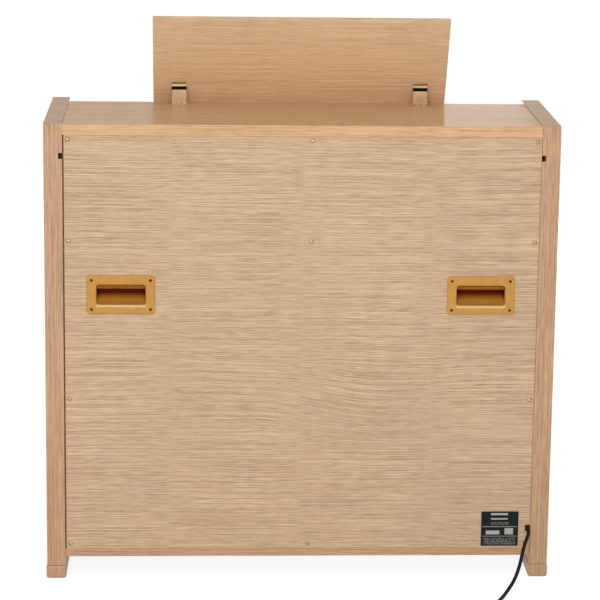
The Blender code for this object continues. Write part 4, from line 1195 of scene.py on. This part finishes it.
@dataclass
class Handles:
    """Recessed carrying handles, each with a grip roll under its lower lip and four screws.

    Heights are measured out of the flange's face.
    """

    centre_x: float = 0.412
    centre_z: float = 0.6793
    flange: tuple[float, float] = (0.155, 0.090)
    flange_edge: Profile = (
        (0.0015, -0.0030), (0.0, -0.0026), (0.0, -0.0011), (0.0004, -0.0004), (0.0012, 0.0))
    flange_corner: float = 0.0068
    opening: tuple[float, float] = (0.112, 0.047)
    opening_corner: float = 0.0070
    lip: float = 0.0030
    face: float = 0.3198
    depth: float = 0.040
    wall: float = 0.003
    scoop: float = 0.024
    slope_above: float = 0.006
    slope_beside: float = 0.008
    roll_height: float = -0.011
    roll_lift: float = 0.0050
    roll_half: tuple[float, float] = (0.0045, 0.0062)
    screw_spots: tuple[tuple[float, float], ...] = (
        (-0.067, -0.034), (-0.067, 0.034), (0.067, -0.034), (0.067, 0.034))
    seat: Profile = ((0.0030, -0.0006), (0.0034, 0.0001), (0.0030, 0.0004), (0.0024, 0.0002))
    screw_radius: float = 0.0020
    screw_rise: float = 0.0010

    def outer_rings(self) -> list[Ring]:
        """Rings of the shell behind the panel and of the flange's edge.

        Returns:
            The rings, from the shell's bottom to the flange's face.
        """
        width, height = (size + 2 * self.wall for size in self.opening)
        rings = [rounded_rectangle(width, height, self.opening_corner, depth, 6)
                 for depth in (-self.depth - self.wall, -self.lip)]
        width, height = self.flange
        for inset, depth in self.flange_edge:
            rings.append(rounded_rectangle(width - 2 * inset, height - 2 * inset, self.flange_corner - inset,
                                           depth, 6))
        return rings

    def hollow_rings(self) -> list[Ring]:
        """Rings of the round lip and of the hollow, whose foot curves up to let the fingers under the lip.

        Returns:
            The rings, from the lip to the hollow's bottom.
        """
        width, height = self.opening
        rings = []
        for k in range(5):
            turn = math.pi / 2 * k / 4
            grow, depth = self.lip * (1 - math.sin(turn)), -self.lip * (1 - math.cos(turn))
            rings.append(rounded_rectangle(width + 2 * grow, height + 2 * grow, self.opening_corner + grow,
                                           depth, 6))
        for k in range(1, 13):
            turn = math.pi / 2 * k / 12
            bend = 1 - math.cos(turn)
            depth = -self.lip - (self.depth - self.lip) * math.sin(turn)
            scoop, top, side = self.scoop * bend, self.slope_above * bend, self.slope_beside * bend
            ring = rounded_rectangle(width - 2 * side, height - scoop - top, self.opening_corner, depth, 6)
            rings.append([spot + Vector((0, (top - scoop) / 2, 0)) for spot in ring])
        return rings

    def add_roll(self, shape: Shape, place: Matrix) -> None:
        """Add the roll that the fingers close on.

        Args:
            shape: the mesh that it goes into.
            place: the handle's place.
        """
        width, height = self.opening
        ends = [place @ Vector((side * (width / 2 - 0.001), self.roll_lift - height / 2, self.roll_height))
                for side in (-1, 1)]
        wide, tall = self.roll_half
        section = [Vector((wide * spot.x, tall * spot.y, 0)) for spot in circle(1.0, 0.0, 16)]
        # The roll takes the darker ochre, painted shade.
        shape.sweep(ends, section, SHADED_GRIP)

    def build(self) -> None:
        """Make both handles."""
        for word, sign in (("left", -1), ("right", 1)):
            shape = Shape(f"handle_{word}")
            place = facing_back(sign * self.centre_x, self.face, self.centre_z)
            shape.skin(self.outer_rings() + self.hollow_rings(), OCHRE, place)
            self.add_roll(shape, place)
            for x, z in self.screw_spots:
                spot = place @ Matrix.Translation((x, z, 0.0))
                # A thin near-black ring round each head: painted shade.
                shape.lathe(self.seat, RECESS_SHADE, spot, 20)
                add_screw(shape, spot @ Matrix.Translation((0.0005, 0.0004, 0)), self.screw_radius,
                          self.screw_rise, BRONZE)
            shape.build("console", f"handle_cup_{word}")


@dataclass
class MusicDesk:
    """Music desk with its ledge, brackets and hook plates, and near-black strips on top of the brackets that
    are painted shadow of the gap there.
    """

    flange: float = 0.0165
    shadow_strip_height: float = 0.0080
    shadow_strip_thickness: float = 0.0045
    screw_spread: float = 0.0065
    screw_back: float = 0.0050
    bracket_foot: float = 0.0018
    screw_radius: float = 0.0034
    screw_rise: float = 0.0018

    def build(self) -> None:
        """Dress the desk and its metalwork and add the strips of painted shadow and the screws."""
        dress(DESK_OAK, 0.0006, "music_desk", "desk_ledge")
        dress(BRASS, 0.0007, "desk_bracket_left", "desk_bracket_right", "desk_hook_left", "desk_hook_right")
        for word in ("left", "right"):
            low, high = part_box(f"desk_bracket_{word}")
            leg_back = high.y - self.flange
            # A near-black strip on the bracket's top stands for the shadowed gap above it: painted shadow.
            sleeve = Shape(f"desk_shadow_strip_{word}")
            sleeve.block((low.x, leg_back - self.shadow_strip_thickness, high.z + 0.0004),
                         (high.x, leg_back, high.z + self.shadow_strip_height), 0.0004, SHADOW_STRIP)
            sleeve.build("desk")
            screws = Shape(f"bracket_screws_{word}")
            for side in (-self.screw_spread, self.screw_spread):
                place = Matrix.Translation(((low.x + high.x) / 2 + side, high.y - self.screw_back,
                                            TOP_SURFACE + self.bracket_foot))
                add_screw(screws, place, self.screw_radius, self.screw_rise, GILT)
            screws.build("console")


NATURAL_STEPS = (0, 2, 4, 5, 7, 9, 11)
SHARP_STEPS = (1, 3, 6, 8, 10)
STEPS_IN_OCTAVE = 12


@dataclass
class Manuals:
    """Keys, slips, cheeks and pistons of both manuals.

    A manual's front and its row of pistons are places through the case and heights. A comb is a set of keys
    with the tails and the bar that carry them. A sharp's crown has levels below its top, with how far its
    sides and its front draw in there.
    """

    pitch: float = 0.0235
    width: float = 0.0225
    head: float = 0.050
    length: float = 0.200
    height: float = 0.018
    ring_depths: tuple[float, ...] = (0.018, 0.0042, 0.0030, 0.0020, 0.0012, 0.0006, 0.0002, 0.0)
    front_edge: float = 0.0042
    side_edge: float = 0.0009
    sharp_width: float = 0.0105
    sharp_rise: float = 0.012
    sharp_setback: float = 0.0018
    sharp_crown: tuple[tuple[float, float, float], ...] = (
        (0.0022, 0.0008, 0.0030), (0.0008, 0.0012, 0.0044), (0.0002, 0.0018, 0.0056), (0.0, 0.0026, 0.0068))
    sharp_gap: float = 0.001
    count: int = 36
    comb_pitch: float = 0.006
    comb_bar: float = 0.004
    fronts: dict[str, tuple[float, float]] = field(
        default_factory=lambda: {"lower": (-0.292, 0.775), "upper": (-0.184, 0.840)})
    piston_rows: dict[str, tuple[float, float]] = field(
        default_factory=lambda: {"lower": (-0.306, 0.7375), "upper": (-0.198, 0.8045)})
    pistons: tuple[float, ...] = (-0.30, -0.27, -0.24, -0.21, -0.18, 0.02, 0.05, 0.08, 0.11, 0.14)
    piston_profile: Profile = (
        (0.0048, -0.0124), (0.0050, -0.0120), (0.0050, 0.0024), (0.0048, 0.0031), (0.0043, 0.0035),
        (0.0034, 0.0034), (0.0018, 0.0030), (0.0003, 0.0029))

    def left_edge(self) -> float:
        """Left end of the row of keys."""
        return -self.count * self.pitch / 2

    def sharp_middle(self, octave: int, step: int) -> float:
        """Middle of a sharp.

        Args:
            octave: which octave, from the left.
            step: its place among the octave's twelve keys.

        Returns:
            Its place along the case.
        """
        width = len(NATURAL_STEPS) * self.pitch
        return self.left_edge() + octave * width + (step + 0.5) * width / STEPS_IN_OCTAVE

    def natural_sides(self, index: int) -> tuple[float, float, float, float]:
        """Sides of a natural's head and of its tail between the sharps.

        Args:
            index: number of the natural, from the left.

        Returns:
            Left and right of the head, then left and right of the tail.
        """
        octave, spot = divmod(index, len(NATURAL_STEPS))
        step = NATURAL_STEPS[spot]
        left = self.left_edge() + index * self.pitch + (self.pitch - self.width) / 2
        right = left + self.width
        reach = self.sharp_width / 2 + self.sharp_gap
        tail_left, tail_right = left, right
        if step - 1 in SHARP_STEPS:
            tail_left = max(left, self.sharp_middle(octave, step - 1) + reach)
        if step + 1 in SHARP_STEPS and index < self.count - 1:
            tail_right = min(right, self.sharp_middle(octave, step + 1) - reach)
        return left, right, tail_left, tail_right

    def add_natural(self, shape: Shape, index: int, front: float, top: float) -> None:
        """Add one natural, with a round front edge and soft sides.

        Args:
            shape: the mesh that it goes into.
            index: number of the natural.
            front: place of its front.
            top: height of its top.
        """
        left, right, tail_left, tail_right = self.natural_sides(index)
        shoulder, rear = front + self.head, front + self.length
        rings = []
        for depth in self.ring_depths:
            ahead = round_inset(self.front_edge, depth)
            side = round_inset(self.side_edge, depth)
            corners = [(left + side, front + ahead), (right - side, front + ahead),
                       (right - side, shoulder - side), (tail_right - side, shoulder - side),
                       (tail_right - side, rear), (tail_left + side, rear),
                       (tail_left + side, shoulder - side), (left + side, shoulder - side)]
            rings.append([Vector((x, y, top - depth)) for x, y in corners])
        shape.skin(rings, IVORY)

    def add_sharp(self, shape: Shape, x: float, front: float, top: float) -> None:
        """Add one sharp, which narrows upwards and slopes at the front.

        Args:
            shape: the mesh that it goes into.
            x: its middle.
            front: place of the naturals' fronts.
            top: height of the naturals' tops.
        """
        start, rear = front + self.head + self.sharp_setback, front + self.length
        rings = []
        levels = [(top - self.height, 0.0, 0.0), (top, 0.0001, 0.0002)]
        levels += [(top + self.sharp_rise - below, side, ahead) for below, side, ahead in self.sharp_crown]
        for height, side, ahead in levels:
            ring = rounded_rectangle(self.sharp_width - 2 * side, rear - start - ahead, 0.0012, height, 3)
            rings.append([p + Vector((x, (start + ahead + rear) / 2, 0)) for p in ring])
        shape.skin(rings, EBONY)

    def add_comb(self, shape: Shape, spots: list[tuple[float, float]], zone: int, front: float, top: float,
                 finish: Finish) -> None:
        """Add the tails and the bar that carry a set of keys.

        Args:
            shape: the mesh that they go into.
            spots: middle and width of each key's rear end.
            zone: which of the three bars it is.
            front: place of the naturals' fronts.
            top: height of the naturals' tops.
            finish: how they look.
        """
        rear, low = front + self.length, top - self.height
        bar = rear + 0.001 + zone * self.comb_pitch
        for x, width in spots:
            shape.block((x - width / 2, rear - 0.002, low + 0.003),
                        (x + width / 2, bar + self.comb_bar, top - 0.001), 0.0005, finish)
            shape.block((x - width / 4, bar + 0.0005, low - 0.001),
                        (x + width / 4, bar + self.comb_bar - 0.0005, low + 0.004), 0.0004, finish)
        left, right = spots[0][0] - 0.003, spots[-1][0] + 0.003
        shape.block((left, bar, low - self.comb_bar), (right, bar + self.comb_bar, low), 0.0005, finish)

    def build_keys(self, word: str) -> None:
        """Make the keys of one manual.

        Args:
            word: which manual.
        """
        front, top = self.fronts[word]
        for letter, first in (("a", 0), ("b", 1)):
            shape = Shape(f"{word}_naturals_{letter}_keys")
            spots = []
            for index in range(first, self.count, 2):
                self.add_natural(shape, index, front, top)
                tail_left, tail_right = self.natural_sides(index)[2:]
                spots.append(((tail_left + tail_right) / 2, tail_right - tail_left))
            self.add_comb(shape, spots, first, front, top, IVORY)
            name = f"{word}_naturals_{letter}"
            shape.build(name, name)
        shape = Shape(f"{word}_sharps_keys")
        octaves = self.count // len(NATURAL_STEPS)
        middles = [self.sharp_middle(octave, step) for octave in range(octaves) for step in SHARP_STEPS]
        for x in middles:
            self.add_sharp(shape, x, front, top)
        self.add_comb(shape, [(x, self.sharp_width) for x in middles], 2, front, top, EBONY)
        shape.build(f"{word}_sharps", f"{word}_sharps")

    def build_pistons(self, word: str) -> None:
        """Make the thumb pistons of one manual.

        Args:
            word: which manual.
        """
        front, height = self.piston_rows[word]
        shape = Shape(f"{word}_pistons")
        for x in self.pistons:
            place = Matrix.Translation((x, front, height)) @ Matrix.Rotation(math.pi / 2, 4, "X")
            shape.lathe(self.piston_profile, IVORY, place, 28)
        rear = front + 0.0115
        shape.block((self.pistons[0] - 0.003, rear + GAP, height - 0.002),
                    (self.pistons[-1] + 0.003, rear + 0.0015, height + 0.002), 0.0004, IVORY)
        shape.build(f"pistons_{word}", f"pistons_{word}")

    def build(self) -> None:
        """Make the keys and dress what holds them."""
        for word in ("lower", "upper"):
            self.build_keys(word)
            self.build_pistons(word)
            dress(SLIP_OAK, 0.0010, f"key_slip_{word}")
            dress(STEEL, 0.0005, f"key_frame_{word}")
        dress(CHEEK_OAK, 0.0010, "key_cheek_left", "key_cheek_right")


@dataclass
class Controls:
    """Stop board, rocker tabs, power switch and volume knob.

    A group of tabs has its first tab's place along the case and its count. The knob's rings have a radius, a
    height and how deep its flutes are there.
    """

    lean: float = math.radians(20)
    foot: tuple[float, float] = (-0.045, 0.8565)
    board_height: float = 0.050
    board_thickness: float = 0.010
    tab_pitch: float = 0.0175
    tab_size: tuple[float, float, float] = (0.0150, 0.008, 0.034)
    tab_proud: float = 0.004
    tab_hollow: float = 0.0013
    tab_edges: Profile = ((0.0, 0.0009), (0.0003, 0.0003), (0.0009, 0.0))
    tab_shares: tuple[float, ...] = (0.0, 0.2, 0.4, 0.6, 0.8, 0.92, 1.0)
    bar_half: tuple[float, float] = (0.0015, 0.002)
    groups: dict[str, tuple[float, int]] = field(default_factory=lambda: {
        "stop_tabs_pedal": (-0.285, 7), "stop_tabs_lower": (-0.095, 9), "stop_tabs_upper": (0.130, 10)})
    knob_x: float = 0.49035
    knob_y: float = -0.252
    knob_rings: tuple[tuple[float, float, float], ...] = (
        (0.0136, 0.0, 0.0), (0.0140, 0.0006, 0.0), (0.0140, 0.0022, 0.0), (0.0136, 0.0026, 0.0005),
        (0.0133, 0.0060, 0.0007), (0.0126, 0.0140, 0.0006), (0.0121, 0.0152, 0.0003), (0.0112, 0.0159, 0.0),
        (0.0098, 0.0160, 0.0), (0.0090, 0.0156, 0.0), (0.0004, 0.0153, 0.0))
    knob_steps: int = 96
    flutes: int = 24
    step_top: float = 0.779

    def tab_rings(self) -> list[Ring]:
        """Rings of a tab from its left side to its right, with its face hollowed for the finger.

        Returns:
            The rings, about the tab's middle.
        """
        width, thickness, length = self.tab_size
        edges = [(across - width / 2, inset) for across, inset in self.tab_edges]
        edges += [(-across, inset) for across, inset in reversed(edges)]
        shares = [*(-share for share in reversed(self.tab_shares[1:])), *self.tab_shares]
        rings = []
        for x, inset in edges:
            reach = length / 2 - inset
            ring = []
            for share in shares:
                hollow = self.tab_hollow * math.cos(math.pi / 2 * share) ** 2 * (1 - share ** 8)
                ring.append(Vector((x, inset - thickness / 2 + hollow, share * reach)))
            ring += [Vector((x, thickness / 2 - inset, end * reach)) for end in (1, -1)]
            rings.append(ring)
        return rings

    def build_tabs(self) -> None:
        """Make the rocker tabs and the bar that joins each group."""
        through, along = self.board_thickness / 2, self.board_height / 2
        sine, cosine = math.sin(self.lean), math.cos(self.lean)
        middle = Vector((0, self.foot[0] + along * sine + through * cosine,
                         self.foot[1] + along * cosine - through * sine))
        thickness = self.tab_size[1]
        forward = Matrix.Translation((0, thickness / 2 - through - self.tab_proud, 0))
        face = Matrix.Translation(middle) @ Matrix.Rotation(-self.lean, 4, "X") @ forward
        rings = self.tab_rings()
        deep, tall = self.bar_half
        for name, (start, count) in self.groups.items():
            shape = Shape(f"{name}_rockers")
            for k in range(count):
                shape.skin(rings, IVORY, face @ Matrix.Translation((start + k * self.tab_pitch, 0, 0)))
            end = start + (count - 1) * self.tab_pitch
            shape.block((start, thickness / 2 - deep, -tall), (end, thickness / 2 + deep, tall), 0.0004,
                        IVORY, face)
            shape.build(name, name)

    def build_knob(self) -> None:
        """Make the fluted volume knob with its pointer."""
        shape = Shape("knob")
        place = Matrix.Translation((self.knob_x, self.knob_y, self.step_top + GAP))
        rings = []
        for radius, height, flute in self.knob_rings:
            turns = [math.tau * k / self.knob_steps for k in range(self.knob_steps)]
            reach = [radius - flute * (0.5 - 0.5 * math.cos(self.flutes * turn)) for turn in turns]
            rings.append([Vector((r * math.cos(turn), r * math.sin(turn), height))
                          for r, turn in zip(reach, turns)])
        shape.skin(rings, BLACK, place)
        shape.block((-0.0006, 0.0025, 0.0150), (0.0006, 0.0112, 0.0161), 0.0003, MARK, place)
        shape.build("volume_knob", "volume_knob")

    def build(self) -> None:
        """Make the tabs and knob and dress the rest."""
        self.build_tabs()
        self.build_knob()
        dress(SLIP_OAK, 0.0006, "stop_board")
        dress(BLACK, 0.0005, "switch_bezel", "power_switch")


@dataclass
class Pedals:
    """Swell pedals in their box, with ribbed treads in metal rims."""

    centre_x: float = 0.057
    width: float = 0.095
    axle: tuple[float, float] = (0.060, 0.205)
    tilt: float = math.radians(48)
    ribs: int = 9
    rib_pitch: float = 0.0088
    rib_half: float = 0.0023
    rib_rise: float = 0.0014
    rib_margin: float = 0.012
    rim_side: float = 0.005
    rim_end: float = 0.006
    rim_rise: float = 0.0009
    rim_margin: float = 0.001
    sunk: float = 0.0006

    def build_tread(self, word: str, sign: int) -> None:
        """Make the ribs and the rim on one pedal.

        Args:
            word: which pedal.
            sign: its side of the case.
        """
        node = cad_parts[f"swell_pedal_{word}"]
        frame = Matrix.Translation((sign * self.centre_x, *self.axle)) @ Matrix.Rotation(self.tilt, 4, "X")
        spots = [frame.inverted() @ vertex.co for vertex in node.data.vertices]
        top = max(spot.z for spot in spots)
        heel, toe = min(spot.y for spot in spots), max(spot.y for spot in spots)
        shape = Shape(f"pedal_tread_{word}")
        for k in range(self.ribs):
            x = (k - (self.ribs - 1) / 2) * self.rib_pitch
            shape.block((x - self.rib_half, heel + self.rib_margin, top - self.sunk),
                        (x + self.rib_half, toe - self.rib_margin, top + self.rib_rise), 0.0007,
                        RUBBER, frame)
        half, near, far = self.width / 2, heel + self.rim_margin, toe - self.rim_margin
        for low, high in (((-half, near), (self.rim_side - half, far)),
                          ((half - self.rim_side, near), (half, far)),
                          ((-half, near), (half, near + self.rim_end)),
                          ((-half, far - self.rim_end), (half, far))):
            shape.block((*low, top - self.sunk), (*high, top + self.rim_rise), 0.0005, STEEL, frame)
        shape.build(f"swell_pedal_{word}")

    def build(self) -> None:
        """Dress the pedals and add their treads."""
        dress(STEEL, 0.0005, "pedal_box", "pedal_axle")
        dress(RUBBER, 0.0015, "swell_pedal_left", "swell_pedal_right")
        self.build_tread("left", -1)
        self.build_tread("right", 1)


@dataclass
class Sound:
    """Loudspeakers, their cloth-covered grilles and the electronics."""

    cone_x: float = 0.345
    cone_z: float = 0.490
    frame_inset: float = 0.0016
    frame_width: float = 0.0204
    frame_back: float = 0.0014
    frame_slope: float = 0.002
    cloth_gap: float = 0.0002
    cloth_cells: tuple[int, int] = (48, 40)
    wrap: float = 0.006
    wrap_depth: float = 0.0045

    def build_frame(self, word: str, x: float) -> bpy.types.Object:
        """Make one grille's frame.

        Args:
            word: which side.
            x: its middle.

        Returns:
            The frame.
        """
        low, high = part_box(f"speaker_grille_{word}")
        wide, tall = ((high[axis] - low[axis]) / 2 - self.frame_inset for axis in (0, 2))
        front, rear = -low.y - self.frame_back, -high.y
        place = Matrix.Translation((x, 0, (low.z + high.z) / 2)) @ Matrix.Rotation(math.pi / 2, 4, "X")
        slope, across = self.frame_slope, self.frame_width
        rings = [rounded_rectangle(2 * (wide - inset), 2 * (tall - inset), 0.006, height, 4)
                 for inset, height in ((0.0, rear), (0.0, front - slope), (slope, front), (across, front),
                                       (across, rear))]
        frame = Shape(f"grille_frame_{word}")
        frame.skin(rings, BLACK, place, closed=True)
        return frame.build("console", f"speaker_grille_{word}")

    def build_cloth(self, word: str, x: float, frame: bpy.types.Object) -> None:
        """Make the cloth that is stretched over one frame and wraps its edges.

        Args:
            word: which side.
            x: its middle.
            frame: the frame that it rests on; not used.
        """
        low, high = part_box(f"speaker_grille_{word}")
        width, height, middle = high.x - low.x, high.z - low.z, (low.z + high.z) / 2
        across, up = self.cloth_cells
        grid = bmesh.new()
        rows = []
        for j in range(up + 1):
            row = []
            for i in range(across + 1):
                u, v = 2 * i / across - 1, 2 * j / up - 1
                edge = min((1 - abs(u)) * width / 2, (1 - abs(v)) * height / 2)
                fall = self.wrap_depth * max(1 - edge / self.wrap, 0.0) ** 2
                row.append(grid.verts.new((x + u * width / 2, low.y + self.cloth_gap + fall,
                                           middle + v * height / 2)))
            rows.append(row)
        for a, b in zip(rows, rows[1:]):
            for i in range(across):
                grid.faces.new((a[i], a[i + 1], b[i + 1], b[i])).smooth = True
        data = bpy.data.meshes.new(f"grille_cloth_{word}")
        grid.to_mesh(data)
        grid.free()
        data.materials.append(CLOTH.material())
        cloth = add_object(data.name, data)
        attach(cloth, "console")
        log.info("%s: cloth", data.name)

    def build_speaker(self, word: str, x: float) -> None:
        """Make one loudspeaker with basket, surround, cone, cap and magnet.

        Args:
            word: which side.
            x: its middle.
        """
        low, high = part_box(f"speaker_{word}")
        depth = high.y - low.y
        place = facing_back(x, low.y, self.cone_z)
        basket = [(0.0895, 0.0), (0.0900, 0.0006), (0.0900, 0.0036), (0.0860, 0.0042), (0.0770, 0.0044),
                  (0.0735, 0.0062), (0.0500, depth - 0.030), (0.0470, depth - 0.0260),
                  (0.0300, depth - 0.0250), (0.0250, 0.0285), (0.0690, 0.0030), (0.0700, 0.0)]
        magnet = [(0.0449, depth - 0.0248), (0.0450, depth - 0.0020), (0.0435, depth), (0.0060, depth),
                  (0.0050, depth - 0.0040)]
        surround = [(0.0695, 0.0042), (0.0695, 0.0014), (0.0672, 0.0004), (0.0640, 0.0004),
                    (0.0612, 0.0018), (0.0600, 0.0036)]
        cone = [(0.0602, 0.0034), (0.0420, 0.0150), (0.0240, 0.0262), (0.0236, 0.0250), (0.0180, 0.0222),
                (0.0090, 0.0196), (0.0004, 0.0190)]
        shape = Shape(f"loudspeaker_{word}")
        shape.lathe(basket, BLACK, place, 48)
        shape.lathe(magnet, STEEL, place, 40)
        shape.lathe(surround, RUBBER, place, 48)
        shape.lathe(cone, PAPER, place, 48)
        shape.build("console", f"speaker_{word}")

    def build(self) -> None:
        """Make the grilles and loudspeakers and dress the electronics."""
        for word, sign in (("left", -1), ("right", 1)):
            x = sign * self.cone_x
            self.build_cloth(word, x, self.build_frame(word, x))
            self.build_speaker(word, x)
        dress(STEEL, 0.0004, "amplifier", "transformer_bolt")
        dress(COPPER, 0.0020, "transformer")
        dress(GREEN, 0.0, "main_board")


def main() -> None:
    """Build the pieces in order."""
    bpy.context.scene.view_settings.view_transform = "Standard"
    studio = Studio()
    studio.build_camera()
    MainsCord().build()
    studio.build()
    Case().build()
    Handles().build()
    MusicDesk().build()
    Manuals().build()
    Controls().build()
    Pedals().build()
    Sound().build()


if __name__ == "__main__":
    logging.basicConfig(level=logging.INFO, format="%(message)s")
    main()
